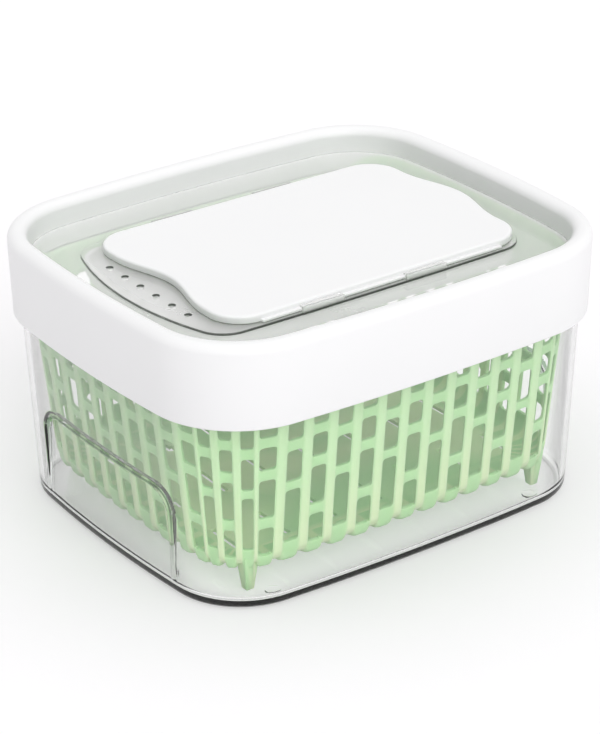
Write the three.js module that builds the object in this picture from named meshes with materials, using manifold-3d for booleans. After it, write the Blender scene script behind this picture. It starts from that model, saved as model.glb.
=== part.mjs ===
// Produce keeper: a clear tub, a slotted lift-out basket standing in it, and a white lid
// with a clear window, a sliding vent cover and a carbon filter behind a hinged grille.
// Millimetres, +Z up. The origin is the middle of the base, and the long sides face -Y and +Y.

import * as THREE from 'three';
import { mergeVertices } from 'three/addons/utils/BufferGeometryUtils.js';
import Module from 'manifold-3d';

const wasm = await Module();
wasm.setup();

// Clearance between pieces that rest on each other, and how far a cutter reaches past its cut
const seat = 0.3;
const overrun = 1;

// Widest outline of the lid. All walls follow it at an inset, so they stay parallel.
const lidLength = 200;
const lidDepth = 169;
const lidCornerRadius = 39;
const lidEndBowRadius = 590;
const lidSideBowRadius = 1040;

// Lid frame: outer skirt, rounded crown, and an inner skirt with a ledge for the window
const overallHeight = 110.9;
const skirtDrop = 33.7;
const skirtWall = 2.2;
const skirtLean = 0.94;
const skirtLip = 0.5;
const crownWidth = 8;
const crownFillet = 3.6;
const crownThickness = 6.6;
const innerSkirtWall = 1.4;
const innerSkirtDrop = 18.6;
const ledgeWidth = 1.5;

// Clear window in the lid, its raised platform and the rails that hold the vent cover
const windowDrop = 9.9;
const windowThickness = 1.6;
const platformFromEnd = 20;
const platformFromSide = 33.5;
const platformCornerRadius = 13;
const platformEndBowRadius = 130;
const platformSideBowRadius = 2500;
const platformRise = 1;
const railLength = 19;
const railPlaceShares = [-0.16, 0.14];
const railWall = 1.2;
const railLip = 1.3;
const railLipThickness = 0.8;

// Vent holes, in a row across the left end of the window
const ventRadius = 1.5;
const ventPitch = 10.7;
const ventCount = 6;
const ventFromEnd = 10.4;

// Vent cover: a flat panel whose two ends have the same wave
const coverFromVentEnd = 14.5;
const coverFromFarEnd = 6.3;
const coverFromSide = 3;
const coverThickness = 3;
const coverCornerRadius = 14;
const coverEdge = 1;
const coverWave = 5.6;
const coverWaveWidth = 60;
const coverFlange = 1.4;
const coverFlangeThickness = 0.9;
const coverFlangeFromEnd = 13.6;

// Filter cage under the window: a plate with a raised wall, and a filter box below the plate
const cageInset = 1.8;
const cageWall = 1.6;
const cageHeight = 6.1;
const cagePlate = 1.5;
const filterLength = 72;
const filterDepth = 62;
const filterWall = 1.5;
const filterHeight = 6.6;
const airSlotLength = 46;
const airSlotWidth = 3;
const airSlotPitch = 8;
const airSlotCount = 6;

// Filter door, its hinge on the cage and its pull tab
const doorThickness = 1.5;
const hingeRadius = 1.7;
const hingePinRadius = 0.9;
const hingeLength = 26;
const hingeLug = 3;
const hingeReach = 2.2;
const pullLength = 5;
const pullWidth = 18;

// Carbon sachet
const sachetMargin = 2;
const sachetThickness = 6;
const sachetEdgeShare = 0.3;

// Tub
const skirtClearance = 1;
const tubWall = 2;
const tubFloor = 2;
const tubLean = 3.55;
const tubFillet = 3;
const pipRadius = 3;
const pipHeight = 0.6;
const pipFromEnd = 30.5;
const pipFromSide = 5.5;

// Grip recess in each end wall of the tub
const gripWidth = 89;
const gripTop = 42.6;
const gripCornerRadius = 9;
const gripDepth = 2.4;
const gripBottom = 4;

// Basket
const basketGap = 3.8;
const basketLean = 6.57;
const basketWall = 1.5;
const basketFloor = 1.8;
const basketRaise = 10;
const basketInnerFillet = 4;
const ribFillet = 7;
const panelFillet = 2;
const fluteDepth = 0.6;
const fluteWidth = 6.8;
const fluteFlank = 1.2;
const fluteBelowRim = 10;
const fluteRunOut = 1;
const slotWidth = 6.4;
const columnPitch = 10.85;
const cornerPitch = 7.4;
const handleFromEnd = 30;
const handleSlope = 14;
const footTopWidth = 6.6;
const footBottomWidth = 3.4;
const footInset = 4;

// Slots of the two kinds of column, from bottom to top, as shares of the height of the flutes
const fourSlotShares = [[0.074, 0.25], [0.309, 0.549], [0.607, 0.75], [0.807, 0.964]];
const threeSlotShares = [[0.123, 0.449], [0.497, 0.691], [0.75, 0.921]];

// Rows of narrow slots in the basket's floor
const floorSlotRows = 3;
const floorSlotWidth = 2.4;
const floorSlotPitch = 21.7;
const floorSlotGap = 22;
const floorSlotMargin = 15;

// Places that follow from the sizes above
const skirtBottom = overallHeight - skirtDrop;
const tubRim = overallHeight - crownThickness - seat;
const innerSkirtBottom = overallHeight - innerSkirtDrop;
const windowTop = overallHeight - windowDrop;
const windowBottom = windowTop - windowThickness;
const ledgeTop = windowBottom - seat;
const platformLength = lidLength - 2 * platformFromEnd;
const platformDepth = lidDepth - 2 * platformFromSide;
const platformTop = windowTop + platformRise;
const ventPlace = platformLength / 2 - ventFromEnd;
const coverLeft = platformLength / 2 - coverFromVentEnd;
const coverRight = platformLength / 2 - coverFromFarEnd;
const coverDepth = platformDepth - 2 * coverFromSide;
const coverBottom = platformTop + seat;
const coverTop = coverBottom + coverThickness;
const cageTop = windowBottom - seat;
const cagePlateTop = cageTop - cageHeight + cagePlate;
const cagePlateBottom = cagePlateTop - cagePlate;
const filterBottom = cagePlateBottom - filterHeight;
const doorTop = filterBottom - seat;
const doorBottom = doorTop - doorThickness;
const tubTopInset = skirtLean + skirtWall + skirtClearance;
const tubBaseInset = tubTopInset + tubLean;
const basketBottom = tubFloor + basketRaise;
const basketTopInset = tubTopInset + tubWall + basketGap;
const basketRim = innerSkirtBottom - seat;
const fluteTop = basketRim - fluteBelowRim;
const handleTop = windowBottom - seat;

// Smoothness of the arcs
const cornerSteps = 7;
const bowSteps = 3;
const platformBowSteps = 4;
const roundSides = 12;

// A convex outline of four shallow bows joined by four round corners, all tangent. It is read
// by the angle of its outward normal, so every parallel outline has its points on the same rays.
function bowedOutline(length, depth, cornerRadius, endBowRadius, sideBowRadius) {
  const end = new THREE.Vector2(length / 2 - endBowRadius, 0);
  const side = new THREE.Vector2(0, depth / 2 - sideBowRadius);
  const fromEnd = endBowRadius - cornerRadius;
  const fromSide = sideBowRadius - cornerRadius;
  const apart = end.distanceTo(side);
  const along = (fromEnd ** 2 - fromSide ** 2 + apart ** 2) / (2 * apart);
  const across = Math.sqrt(fromEnd ** 2 - along ** 2);
  const toSide = side.clone().sub(end).divideScalar(apart);
  const corner = end.clone().addScaledVector(toSide, along);
  corner.add(new THREE.Vector2(-toSide.y, toSide.x).multiplyScalar(across));
  const endAngle = Math.atan2(corner.y - end.y, corner.x - end.x);
  const sideAngle = Math.atan2(corner.y - side.y, corner.x - side.x);

  function point(angle, inset) {
    const normal = new THREE.Vector2(Math.cos(angle), Math.sin(angle));
    const folded = Math.atan2(Math.abs(normal.y), Math.abs(normal.x));
    let centre = corner;
    let radius = cornerRadius;
    if (folded < endAngle) {
      centre = end;
      radius = endBowRadius;
    } else if (folded > sideAngle) {
      centre = side;
      radius = sideBowRadius;
    }
    const x = centre.x + (radius - inset) * Math.cos(folded);
    const y = centre.y + (radius - inset) * Math.sin(folded);
    return new THREE.Vector2(Math.sign(normal.x) * x, Math.sign(normal.y) * y);
  }

  // Angles of one quarter, mirrored round the whole outline
  function angles(bows, corners) {
    const quarter = [];
    for (let i = 0; i < bows; i++) quarter.push((endAngle * i) / bows);
    for (let i = 0; i < corners; i++) quarter.push(endAngle + ((sideAngle - endAngle) * i) / corners);
    for (let i = 0; i < bows; i++) quarter.push(sideAngle + ((Math.PI / 2 - sideAngle) * i) / bows);
    const half = quarter.concat([Math.PI / 2], quarter.slice(1).reverse().map((a) => Math.PI - a));
    return half.concat(half.map((a) => a + Math.PI));
  }

  // Lengths of the three parts of a quarter at an inset: half an end, a corner, half a side
  function quarterLengths(inset) {
    return [
      (endBowRadius - inset) * endAngle,
      (cornerRadius - inset) * (sideAngle - endAngle),
      (sideBowRadius - inset) * (Math.PI / 2 - sideAngle),
    ];
  }

  // Normal angle at a length round the outline, counted from the middle of the +X end
  function angleAt(distance, inset) {
    const [endPart, cornerPart, sidePart] = quarterLengths(inset);
    const quarter = endPart + cornerPart + sidePart;
    const turn = Math.floor(distance / quarter);
    const mirrored = Math.abs(turn) % 2 === 1;
    const rest = distance - turn * quarter;
    const s = mirrored ? quarter - rest : rest;
    let angle = s / (endBowRadius - inset);
    if (s > endPart) angle = endAngle + (s - endPart) / (cornerRadius - inset);
    if (s > endPart + cornerPart) {
      angle = sideAngle + (s - endPart - cornerPart) / (sideBowRadius - inset);
    }
    return mirrored ? ((turn + 1) * Math.PI) / 2 - angle : (turn * Math.PI) / 2 + angle;
  }

  return { point, angles, quarterLengths, angleAt };
}

const lidOutline = bowedOutline(lidLength, lidDepth, lidCornerRadius, lidEndBowRadius, lidSideBowRadius);
const platformOutline = bowedOutline(
  platformLength, platformDepth, platformCornerRadius, platformEndBowRadius, platformSideBowRadius);

// Makes a solid of a closed geometry
function solid(geometry) {
  geometry.deleteAttribute('normal');
  geometry.deleteAttribute('uv');
  const merged = mergeVertices(geometry);
  const index = merged.index.array;
  const kept = [];
  for (let i = 0; i < index.length; i += 3) {
    const [a, b, c] = [index[i], index[i + 1], index[i + 2]];
    if (a !== b && b !== c && c !== a) kept.push(a, b, c);
  }
  return new wasm.Manifold(new wasm.Mesh({
    numProp: 3,
    vertProperties: new Float32Array(merged.attributes.position.array),
    triVerts: new Uint32Array(kept),
  }));
}

function joined(solids) {
  return wasm.Manifold.union(solids);
}

// A profile point of a wall: its inset from the outline, its height, and how deep the flutes
// are there
function at(inset, height, flute = 0) {
  return { inset, height, flute };
}

// Sweeps a profile round an outline. A ring closes its profile on itself; otherwise the first
// and last points, which are the lowest and highest, are closed by flat faces.
function sweep(outline, stations, profile, ring = false) {
  const points = [];
  const index = [];
  const rows = profile.length;
  const count = stations.length;
  for (const { angle, fluted } of stations) {
    for (const p of profile) {
      const q = outline.point(angle, p.inset + (fluted ? p.flute : 0));
      points.push(q.x, q.y, p.height);
    }
  }
  const bands = ring ? rows : rows - 1;
  for (let i = 0; i < count; i++) {
    const here = i * rows;
    const next = ((i + 1) % count) * rows;
    for (let j = 0; j < bands; j++) {
      const up = (j + 1) % rows;
      index.push(here + j, next + j, next + up, here + j, next + up, here + up);
    }
  }
  if (!ring) {
    const low = points.length / 3;
    points.push(0, 0, profile[0].height, 0, 0, profile[rows - 1].height);
    for (let i = 0; i < count; i++) {
      const here = i * rows;
      const next = ((i + 1) % count) * rows;
      index.push(low, next, here, low + 1, here + rows - 1, next + rows - 1);
    }
  }
  const geometry = new THREE.BufferGeometry();
  geometry.setAttribute('position', new THREE.Float32BufferAttribute(points, 3));
  geometry.setIndex(index);
  return solid(geometry);
}

function plainStations(outline, bows, corners) {
  return outline.angles(bows, corners).map((angle) => ({ angle, fluted: false }));
}

const lidStations = plainStations(lidOutline, bowSteps, cornerSteps);
const platformStations = plainStations(platformOutline, platformBowSteps, cornerSteps);

// Points of a round edge between two directions, in a profile
function arcProfile(inset, height, radius, from, to, steps) {
  const points = [];
  for (let i = 0; i <= steps; i++) {
    const a = from + ((to - from) * i) / steps;
    points.push(at(inset - radius * Math.cos(a), height + radius * Math.sin(a)));
  }
  return points;
}

// A box between two corners
function block(x0, x1, y0, y1, z0, z1) {
  const geometry = new THREE.BoxGeometry(x1 - x0, y1 - y0, z1 - z0);
  geometry.translate((x0 + x1) / 2, (y0 + y1) / 2, (z0 + z1) / 2);
  return solid(geometry);
}

// A round bar along X or Z, centred on its length
function bar(axis, radius, length, x, y, z) {
  const geometry = new THREE.CylinderGeometry(radius, radius, length, roundSides);
  if (axis === 'x') geometry.rotateZ(Math.PI / 2);
  if (axis === 'z') geometry.rotateX(Math.PI / 2);
  geometry.translate(x, y, z);
  return solid(geometry);
}

// Lid frame
function buildLidFrame() {
  const skirtInner = skirtLean + skirtWall;
  const roof = overallHeight - crownThickness;
  const crownSpring = overallHeight - crownFillet;
  const profile = [
    at(skirtInner, skirtBottom),
    at(skirtWall, roof),
    at(crownWidth - innerSkirtWall, roof),
    at(crownWidth - innerSkirtWall, innerSkirtBottom),
    at(crownWidth + ledgeWidth, innerSkirtBottom),
    at(crownWidth + ledgeWidth, ledgeTop),
    at(crownWidth, ledgeTop),
    ...arcProfile(crownWidth - crownFillet, crownSpring, crownFillet, Math.PI, Math.PI / 2, 4),
    ...arcProfile(crownFillet, crownSpring, crownFillet, Math.PI / 2, 0, 4),
    at(skirtLean, skirtBottom + skirtLip),
    at(skirtLean + skirtLip, skirtBottom),
  ];
  return sweep(lidOutline, lidStations, profile.reverse(), true);
}

// Window, with its platform, rails and vent holes
function buildLidWindow() {
  const edge = crownWidth + seat;
  const plate = sweep(lidOutline, lidStations, [at(edge, windowBottom), at(edge, windowTop)]);
  const platform = sweep(platformOutline, platformStations, [
    at(0, windowTop - windowThickness / 2),
    at(0, platformTop - platformRise / 4),
    at(platformRise / 4, platformTop),
  ]);
  const railInner = coverDepth / 2 + coverFlange + seat;
  const railOuter = railInner + railWall;
  const lipBottom = coverBottom + coverFlangeThickness + seat;
  const lipTop = lipBottom + railLipThickness;
  const rails = [];
  for (const share of railPlaceShares) {
    for (const side of [-1, 1]) {
      const from = share * platformLength - railLength / 2;
      const to = share * platformLength + railLength / 2;
      const wall = [side * railInner, side * railOuter].sort((a, b) => a - b);
      const lip = [side * (railInner - railLip), side * railOuter].sort((a, b) => a - b);
      rails.push(block(from, to, wall[0], wall[1], windowTop, lipTop));
      rails.push(block(from, to, lip[0], lip[1], lipBottom, lipTop));
    }
  }
  const tall = windowThickness + platformRise + 2 * overrun;
  const holes = ventRow(tall, (windowBottom + platformTop) / 2);
  return joined([plate, platform, ...rails]).subtract(holes);
}

// The row of vent holes, as a cutter
function ventRow(length, height) {
  const holes = [];
  for (let i = 0; i < ventCount; i++) {
    const y = (i - (ventCount - 1) / 2) * ventPitch;
    holes.push(bar('z', ventRadius, length, -ventPlace, y, height));
  }
  return joined(holes);
}

// Outline of the vent cover: round corners, and a wave on both ends
function coverShape(inset) {
  const half = coverDepth / 2 - inset;
  const radius = coverCornerRadius - inset;
  const straight = half - radius;
  const waveSteps = 12;
  const cornerPoints = 4;
  const shape = [];
  const wave = (y) => {
    const reach = coverWaveWidth / 2;
    return Math.abs(y) < reach ? coverWave * Math.cos((Math.PI * y) / coverWaveWidth) ** 2 : 0;
  };
  const corner = (x, y, from) => {
    for (let i = 0; i <= cornerPoints; i++) {
      const a = from + ((Math.PI / 2) * i) / cornerPoints;
      shape.push(new THREE.Vector2(x + radius * Math.cos(a), y + radius * Math.sin(a)));
    }
  };
  const right = coverRight - inset;
  const left = inset - coverLeft;
  corner(right - radius, -straight, -Math.PI / 2);
  for (let i = 1; i < waveSteps; i++) {
    const y = straight * ((2 * i) / waveSteps - 1);
    shape.push(new THREE.Vector2(right + wave(y), y));
  }
  corner(right - radius, straight, 0);
  corner(left + radius, straight, Math.PI / 2);
  for (let i = 1; i < waveSteps; i++) {
    const y = straight * (1 - (2 * i) / waveSteps);
    shape.push(new THREE.Vector2(left + wave(y), y));
  }
  corner(left + radius, -straight, Math.PI);
  return new THREE.Shape(shape);
}

// Vent cover, with a flange along each long side that runs under the rails
function buildVentCover() {
  const geometry = new THREE.ExtrudeGeometry(coverShape(coverEdge), {
    depth: coverThickness - coverEdge,
    bevelEnabled: true,
    bevelThickness: coverEdge,
    bevelSize: coverEdge,
    bevelSegments: 2,
  });
  geometry.translate(0, 0, coverBottom);
  const reach = coverDepth / 2 + coverFlange;
  const flangeTop = coverBottom + coverFlangeThickness;
  const from = coverFlangeFromEnd - coverLeft;
  const to = coverRight - coverFlangeFromEnd;
  const flange = block(from, to, -reach, reach, coverBottom, flangeTop);
  const above = block(
    -lidLength, lidLength, -lidDepth, lidDepth, coverBottom, coverTop + overrun);
  return joined([solid(geometry).intersect(above), flange]);
}

// Slots side by side, long along X, as a cutter
function slotRow(count, pitch, width, length, bottom, top) {
  const slots = [];
  for (let i = 0; i < count; i++) {
    const y = (i - (count - 1) / 2) * pitch;
    slots.push(block(-length / 2, length / 2, y - width / 2, y + width / 2, bottom, top));
  }
  return joined(slots);
}

const hingeY = filterDepth / 2 + hingeReach;
const hingeZ = doorBottom + hingeRadius;

// Filter cage
function buildFilterCage() {
  const outer = sweep(platformOutline, platformStations, [
    at(cageInset, cagePlateBottom), at(cageInset, cageTop),
  ]);
  const inner = sweep(platformOutline, platformStations, [
    at(cageInset + cageWall, cagePlateTop), at(cageInset + cageWall, cageTop + overrun),
  ]);
  const tray = outer.subtract(inner);
  const [halfX, halfY] = [filterLength / 2, filterDepth / 2];
  const [openX, openY] = [halfX - filterWall, halfY - filterWall];
  const box = block(-halfX, halfX, -halfY, halfY, filterBottom, cagePlateTop);
  const room = block(-openX, openX, -openY, openY, filterBottom - overrun, cagePlateBottom);
  const air = slotRow(
    airSlotCount, airSlotPitch, airSlotWidth, airSlotLength,
    cagePlateBottom - overrun, cagePlateTop + overrun);
  const vents = ventRow(cagePlate + 2 * overrun, (cagePlateTop + cagePlateBottom) / 2);
  const lugs = [];
  for (const side of [-1, 1]) {
    const near = side * (hingeLength / 2 + seat);
    const far = near + side * hingeLug;
    const [from, to] = [Math.min(near, far), Math.max(near, far)];
    const arm = block(from, to, halfY - filterWall, hingeY + hingeRadius, hingeZ, cagePlateTop);
    const eye = bar('x', hingeRadius, hingeLug, (from + to) / 2, hingeY, hingeZ);
    lugs.push(arm, eye);
  }
  const pinHole = bar('x', hingePinRadius + seat, hingeLength + 4 * hingeLug, 0, hingeY, hingeZ);
  return joined([tray, box, ...lugs]).subtract(joined([room, air, vents, pinHole]));
}

// Filter door, drawn closed
function buildFilterDoor() {
  const [halfX, halfY] = [filterLength / 2, filterDepth / 2];
  const plate = block(-halfX, halfX, -halfY, halfY, doorBottom, doorTop);
  const pull = block(
    -pullWidth / 2, pullWidth / 2, -halfY - pullLength, -halfY + filterWall, doorBottom, doorTop);
  const arm = block(
    -hingeLength / 2, hingeLength / 2, halfY - filterWall, hingeY, doorBottom, doorTop);
  const barrel = bar('x', hingeRadius, hingeLength, 0, hingeY, hingeZ);
  const pin = bar('x', hingePinRadius, hingeLength + 2 * hingeLug, 0, hingeY, hingeZ);
  const air = slotRow(
    airSlotCount, airSlotPitch, airSlotWidth, airSlotLength,
    doorBottom - overrun, doorTop + overrun);
  return joined([plate, pull, arm, barrel, pin]).subtract(air);
}

// Carbon sachet: a crowned pad, thin at its edges
function buildCarbonSachet() {
  const length = filterLength - 2 * (filterWall + sachetMargin);
  const depth = filterDepth - 2 * (filterWall + sachetMargin);
  const geometry = new THREE.BoxGeometry(length, depth, sachetThickness, 8, 8, 1);
  const position = geometry.attributes.position;
  for (let i = 0; i < position.count; i++) {
    const u = (2 * position.getX(i)) / length;
    const v = (2 * position.getY(i)) / depth;
    const crown = (1 - u ** 4) * (1 - v ** 4);
    position.setZ(i, position.getZ(i) * (sachetEdgeShare + (1 - sachetEdgeShare) * crown));
  }
  geometry.translate(0, 0, doorTop + seat + sachetThickness / 2);
  return solid(geometry);
}

// Inset of the tub's outer face at a height
function tubInset(height) {
  return tubTopInset + (tubLean * (skirtBottom - height)) / skirtBottom;
}

// An upright prism along X with two round upper corners, for the grip recess
function gripPrism(grow) {
  const half = gripWidth / 2 + grow;
  const top = gripTop + grow;
  const radius = gripCornerRadius + grow;
  const shape = new THREE.Shape();
  shape.moveTo(-half, -lidDepth);
  shape.lineTo(half, -lidDepth);
  shape.lineTo(half, top - radius);
  shape.absarc(half - radius, top - radius, radius, 0, Math.PI / 2);
  shape.lineTo(radius - half, top);
  shape.absarc(radius - half, top - radius, radius, Math.PI / 2, Math.PI);
  const geometry = new THREE.ExtrudeGeometry(shape, {
    depth: 2 * lidLength, bevelEnabled: false, curveSegments: 5,
  });
  geometry.rotateX(Math.PI / 2);
  geometry.rotateZ(Math.PI / 2);
  geometry.translate(-lidLength, 0, 0);
  return solid(geometry);
}

// What lies outside the recessed face within the grip's outline
function gripCut(grow) {
  const face = sweep(lidOutline, lidStations, [
    at(tubInset(gripBottom) + grow, gripBottom - lidDepth),
    at(tubInset(gripBottom) + grow, gripBottom),
    at(tubInset(gripTop) + gripDepth + grow, gripTop),
    at(tubInset(gripTop) + gripDepth + grow, overallHeight),
  ]);
  return gripPrism(grow).subtract(face);
}

// Tub: the outer form with its grips, less the inner form that follows them at the wall
function buildTub() {
  const outer = sweep(lidOutline, lidStations, [
    at(tubInset(0) + tubFillet, 0),
    at(tubInset(0) + tubFillet * (1 - Math.SQRT1_2), tubFillet * (1 - Math.SQRT1_2)),
    at(tubInset(tubFillet), tubFillet),
    at(tubInset(tubRim), tubRim),
  ]).subtract(gripCut(0));
  const inner = sweep(lidOutline, lidStations, [
    at(tubInset(tubFloor) + tubWall + tubFillet, tubFloor),
    at(tubInset(tubFloor + tubFillet) + tubWall, tubFloor + tubFillet),
    at(tubInset(tubRim + overrun) + tubWall, tubRim + overrun),
  ]).subtract(gripCut(tubWall));
  const pips = [];
  const pipX = lidLength / 2 - tubBaseInset - pipFromEnd;
  const pipY = lidDepth / 2 - tubBaseInset - tubWall - tubFillet - pipFromSide;
  const pipRoot = tubFloor / 2;
  const pipTop = tubFloor + pipHeight;
  for (const x of [-pipX, pipX]) {
    for (const y of [-pipY, pipY]) {
      pips.push(bar('z', pipRadius, pipTop - pipRoot, x, y, (pipRoot + pipTop) / 2));
    }
  }
  return joined([outer.subtract(inner), ...pips]);
}

// Inset of the basket's ribs at a height, without the round at their foot
function basketInset(height) {
  const downShare = Math.max(0, (skirtBottom - height) / (skirtBottom - basketBottom));
  return basketTopInset + basketLean * downShare;
}

// Inset of the basket's inner face at a height
function basketInnerInset(height) {
  return basketInset(height) + fluteDepth + basketWall;
}

// How far a round foot of a radius draws in at a height above the basket's bottom
function footRound(rise, radius) {
  return radius - Math.sqrt(radius ** 2 - Math.max(0, radius - rise) ** 2);
}

// A profile point of the fluted face. The ribs have a large round at their foot and the panels
// between them a small one, so the panels stand out there as tongues.
function ribbed(rise) {
  const height = basketBottom + rise;
  const rib = footRound(rise, ribFillet);
  const panel = fluteDepth + footRound(rise, panelFillet);
  return at(basketInset(height) + rib, height, panel - rib);
}

// Columns of slots in one quarter. They have one pitch on the ends and the long sides, and a
// closer one round the corners. A side has a column at its middle, and an end has none there.
const slotInset = basketInset((basketBottom + skirtBottom) / 2);
const [endPart, cornerPart, sidePart] = lidOutline.quarterLengths(slotInset);
const quarterPart = endPart + cornerPart + sidePart;
const endColumns = Math.round(endPart / columnPitch + 1 / 2);
const sideColumns = Math.round(sidePart / columnPitch);
const cornerFrom = (endColumns - 1 / 2) * columnPitch;
const cornerTo = quarterPart - sideColumns * columnPitch;
const cornerGaps = Math.max(1, Math.round((cornerTo - cornerFrom) / cornerPitch));
const cornerStep = (cornerTo - cornerFrom) / cornerGaps;

// All columns in order: each has its place round the outline and the pitch there
function columnRow() {
  const quarter = [];
  for (let i = 0; i < endColumns; i++) {
    quarter.push({ place: (i + 1 / 2) * columnPitch, pitch: columnPitch });
  }
  for (let i = 1; i < cornerGaps; i++) {
    quarter.push({ place: cornerFrom + i * cornerStep, pitch: cornerStep });
  }
  for (let i = 0; i < sideColumns; i++) {
    quarter.push({ place: cornerTo + i * columnPitch, pitch: columnPitch });
  }
  const middle = { place: quarterPart, pitch: columnPitch };
  const mirrored = quarter.slice().reverse().map(({ place, pitch }) => {
    return { place: 2 * quarterPart - place, pitch };
  });
  const half = [...quarter, middle, ...mirrored];
  return half.concat(half.map(({ place, pitch }) => ({ place: place + 2 * quarterPart, pitch })));
}

const columns = columnRow();

// Angles of the two sides of a slot or flute that has the given width at the wide pitch
function sidesOf({ place, pitch }, width) {
  const half = (width * pitch) / columnPitch / 2;
  return [-half, half].map((along) => lidOutline.angleAt(place + along, slotInset));
}

// Stations of the fluted outer face: each column has a flute with sloped flanks between two ribs
function fluteStations() {
  const stations = [];
  for (const column of columns) {
    const [ribBefore, ribAfter] = sidesOf(column, fluteWidth + fluteFlank);
    const [from, to] = sidesOf(column, fluteWidth - fluteFlank);
    stations.push({ angle: ribBefore, fluted: false }, { angle: from, fluted: true });
    stations.push({ angle: to, fluted: true }, { angle: ribAfter, fluted: false });
  }
  return stations;
}

// Stations of the inner face, between the columns
function innerStations() {
  return columns.map(({ place }, i) => {
    const next = i + 1 < columns.length ? columns[i + 1].place : columns[0].place + 4 * quarterPart;
    return { angle: lidOutline.angleAt((place + next) / 2, slotInset), fluted: false };
  });
}

// A block between two angles, two insets and two heights, with its first inset outside
function wedge(angles, insets, heights) {
  const geometry = new THREE.BoxGeometry();
  const position = geometry.attributes.position;
  for (let i = 0; i < position.count; i++) {
    const angle = position.getY(i) < 0 ? angles[0] : angles[1];
    const inset = position.getX(i) > 0 ? insets[0] : insets[1];
    const height = position.getZ(i) < 0 ? heights[0] : heights[1];
    const q = lidOutline.point(angle, inset);
    position.setXYZ(i, q.x, q.y, height);
  }
  return solid(geometry);
}

// Cutters for the wall slots, staggered from column to column
function wallSlots() {
  const insets = [basketTopInset - overrun, basketInnerInset(basketBottom) + overrun];
  const slots = [];
  columns.forEach((column, i) => {
    for (const shares of i % 2 === 0 ? threeSlotShares : fourSlotShares) {
      const heights = shares.map((share) => basketBottom + share * (fluteTop - basketBottom));
      slots.push(wedge(sidesOf(column, slotWidth), insets, heights));
    }
  });
  return joined(slots);
}

// Cutters for the floor: rows of narrow slots across the basket
function floorSlots() {
  const edge = basketInnerInset(basketBottom + basketFloor) + floorSlotMargin;
  const [halfX, halfY] = [lidLength / 2 - edge, lidDepth / 2 - edge];
  const length = (2 * halfY - (floorSlotRows - 1) * floorSlotGap) / floorSlotRows;
  const columnsEachWay = Math.floor(halfX / floorSlotPitch);
  const top = basketBottom + basketFloor + overrun;
  const slots = [];
  for (let i = -columnsEachWay; i <= columnsEachWay; i++) {
    const left = i * floorSlotPitch - floorSlotWidth / 2;
    const right = left + floorSlotWidth;
    for (let row = 0; row < floorSlotRows; row++) {
      const from = row * (length + floorSlotGap) - halfY;
      slots.push(block(left, right, from, from + length, basketBottom - overrun, top));
    }
  }
  return joined(slots);
}

// Corner feet, which hold the basket off the tub's floor. Each is square, tapers downwards and
// stands under the corner column next to a long side.
function basketFeet() {
  const feet = [];
  const bottom = tubFloor + seat;
  const top = basketBottom + basketFloor;
  const angle = lidOutline.angleAt(cornerTo - cornerStep, slotInset);
  const place = lidOutline.point(angle, basketInset(basketBottom) + footInset);
  for (const x of [-place.x, place.x]) {
    for (const y of [-place.y, place.y]) {
      const geometry = new THREE.CylinderGeometry(
        footTopWidth * Math.SQRT1_2, footBottomWidth * Math.SQRT1_2, top - bottom, 4);
      geometry.rotateX(Math.PI / 2);
      geometry.rotateZ(Math.PI / 4);
      geometry.translate(x, y, (bottom + top) / 2);
      feet.push(solid(geometry));
    }
  }
  return joined(feet);
}

// Basket
function buildBasket() {
  const outer = sweep(lidOutline, fluteStations(), [
    at(basketInset(basketBottom) + ribFillet + basketWall, basketBottom),
    ribbed(0),
    ribbed(panelFillet * (1 - Math.SQRT1_2)),
    ribbed(panelFillet),
    ribbed((panelFillet + ribFillet) / 2),
    ribbed(ribFillet),
    at(basketTopInset, skirtBottom, fluteDepth),
    at(basketTopInset, fluteTop - fluteRunOut, fluteDepth),
    at(basketTopInset, fluteTop),
    at(basketTopInset, handleTop),
  ]);
  const floorTop = basketBottom + basketFloor;
  const filletTop = floorTop + basketInnerFillet;
  const inner = sweep(lidOutline, innerStations(), [
    at(basketInnerInset(floorTop) + basketInnerFillet, floorTop),
    at(basketInnerInset(filletTop), filletTop),
    at(basketInnerInset(skirtBottom), skirtBottom),
    at(basketInnerInset(handleTop), handleTop + overrun),
  ]);
  const shoulder = lidLength / 2 - handleFromEnd;
  const opening = new THREE.Shape([
    new THREE.Vector2(-shoulder, basketRim),
    new THREE.Vector2(shoulder, basketRim),
    new THREE.Vector2(shoulder + handleSlope, handleTop + overrun),
    new THREE.Vector2(-shoulder - handleSlope, handleTop + overrun),
  ]);
  const geometry = new THREE.ExtrudeGeometry(opening, { depth: 2 * lidDepth, bevelEnabled: false });
  geometry.rotateX(Math.PI / 2);
  geometry.translate(0, lidDepth, 0);
  return joined([outer, basketFeet()])
    .subtract(joined([inner, solid(geometry), wallSlots(), floorSlots()]));
}

// A named mesh with a flat-faced geometry, in its own material
function piece(name, body, material) {
  const mesh = body.getMesh();
  const geometry = new THREE.BufferGeometry();
  geometry.setAttribute('position', new THREE.BufferAttribute(mesh.vertProperties, 3));
  geometry.setIndex(new THREE.BufferAttribute(mesh.triVerts, 1));
  const faceted = geometry.toNonIndexed();
  faceted.computeVertexNormals();
  const result = new THREE.Mesh(faceted, new THREE.MeshStandardMaterial(material));
  result.name = name;
  return result;
}

const clearPlastic = { color: 0xeef0ef, roughness: 0.06, metalness: 0, transparent: true, opacity: 0.3 };
const whitePlastic = { color: 0xf6f6f6, roughness: 0.35, metalness: 0 };
const frostedPlastic = { color: 0xdedcda, roughness: 0.5, metalness: 0 };
const greenPlastic = { color: 0xb7d9ac, roughness: 0.4, metalness: 0 };
const pouchFabric = { color: 0xe9e6e0, roughness: 0.95, metalness: 0 };

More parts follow.
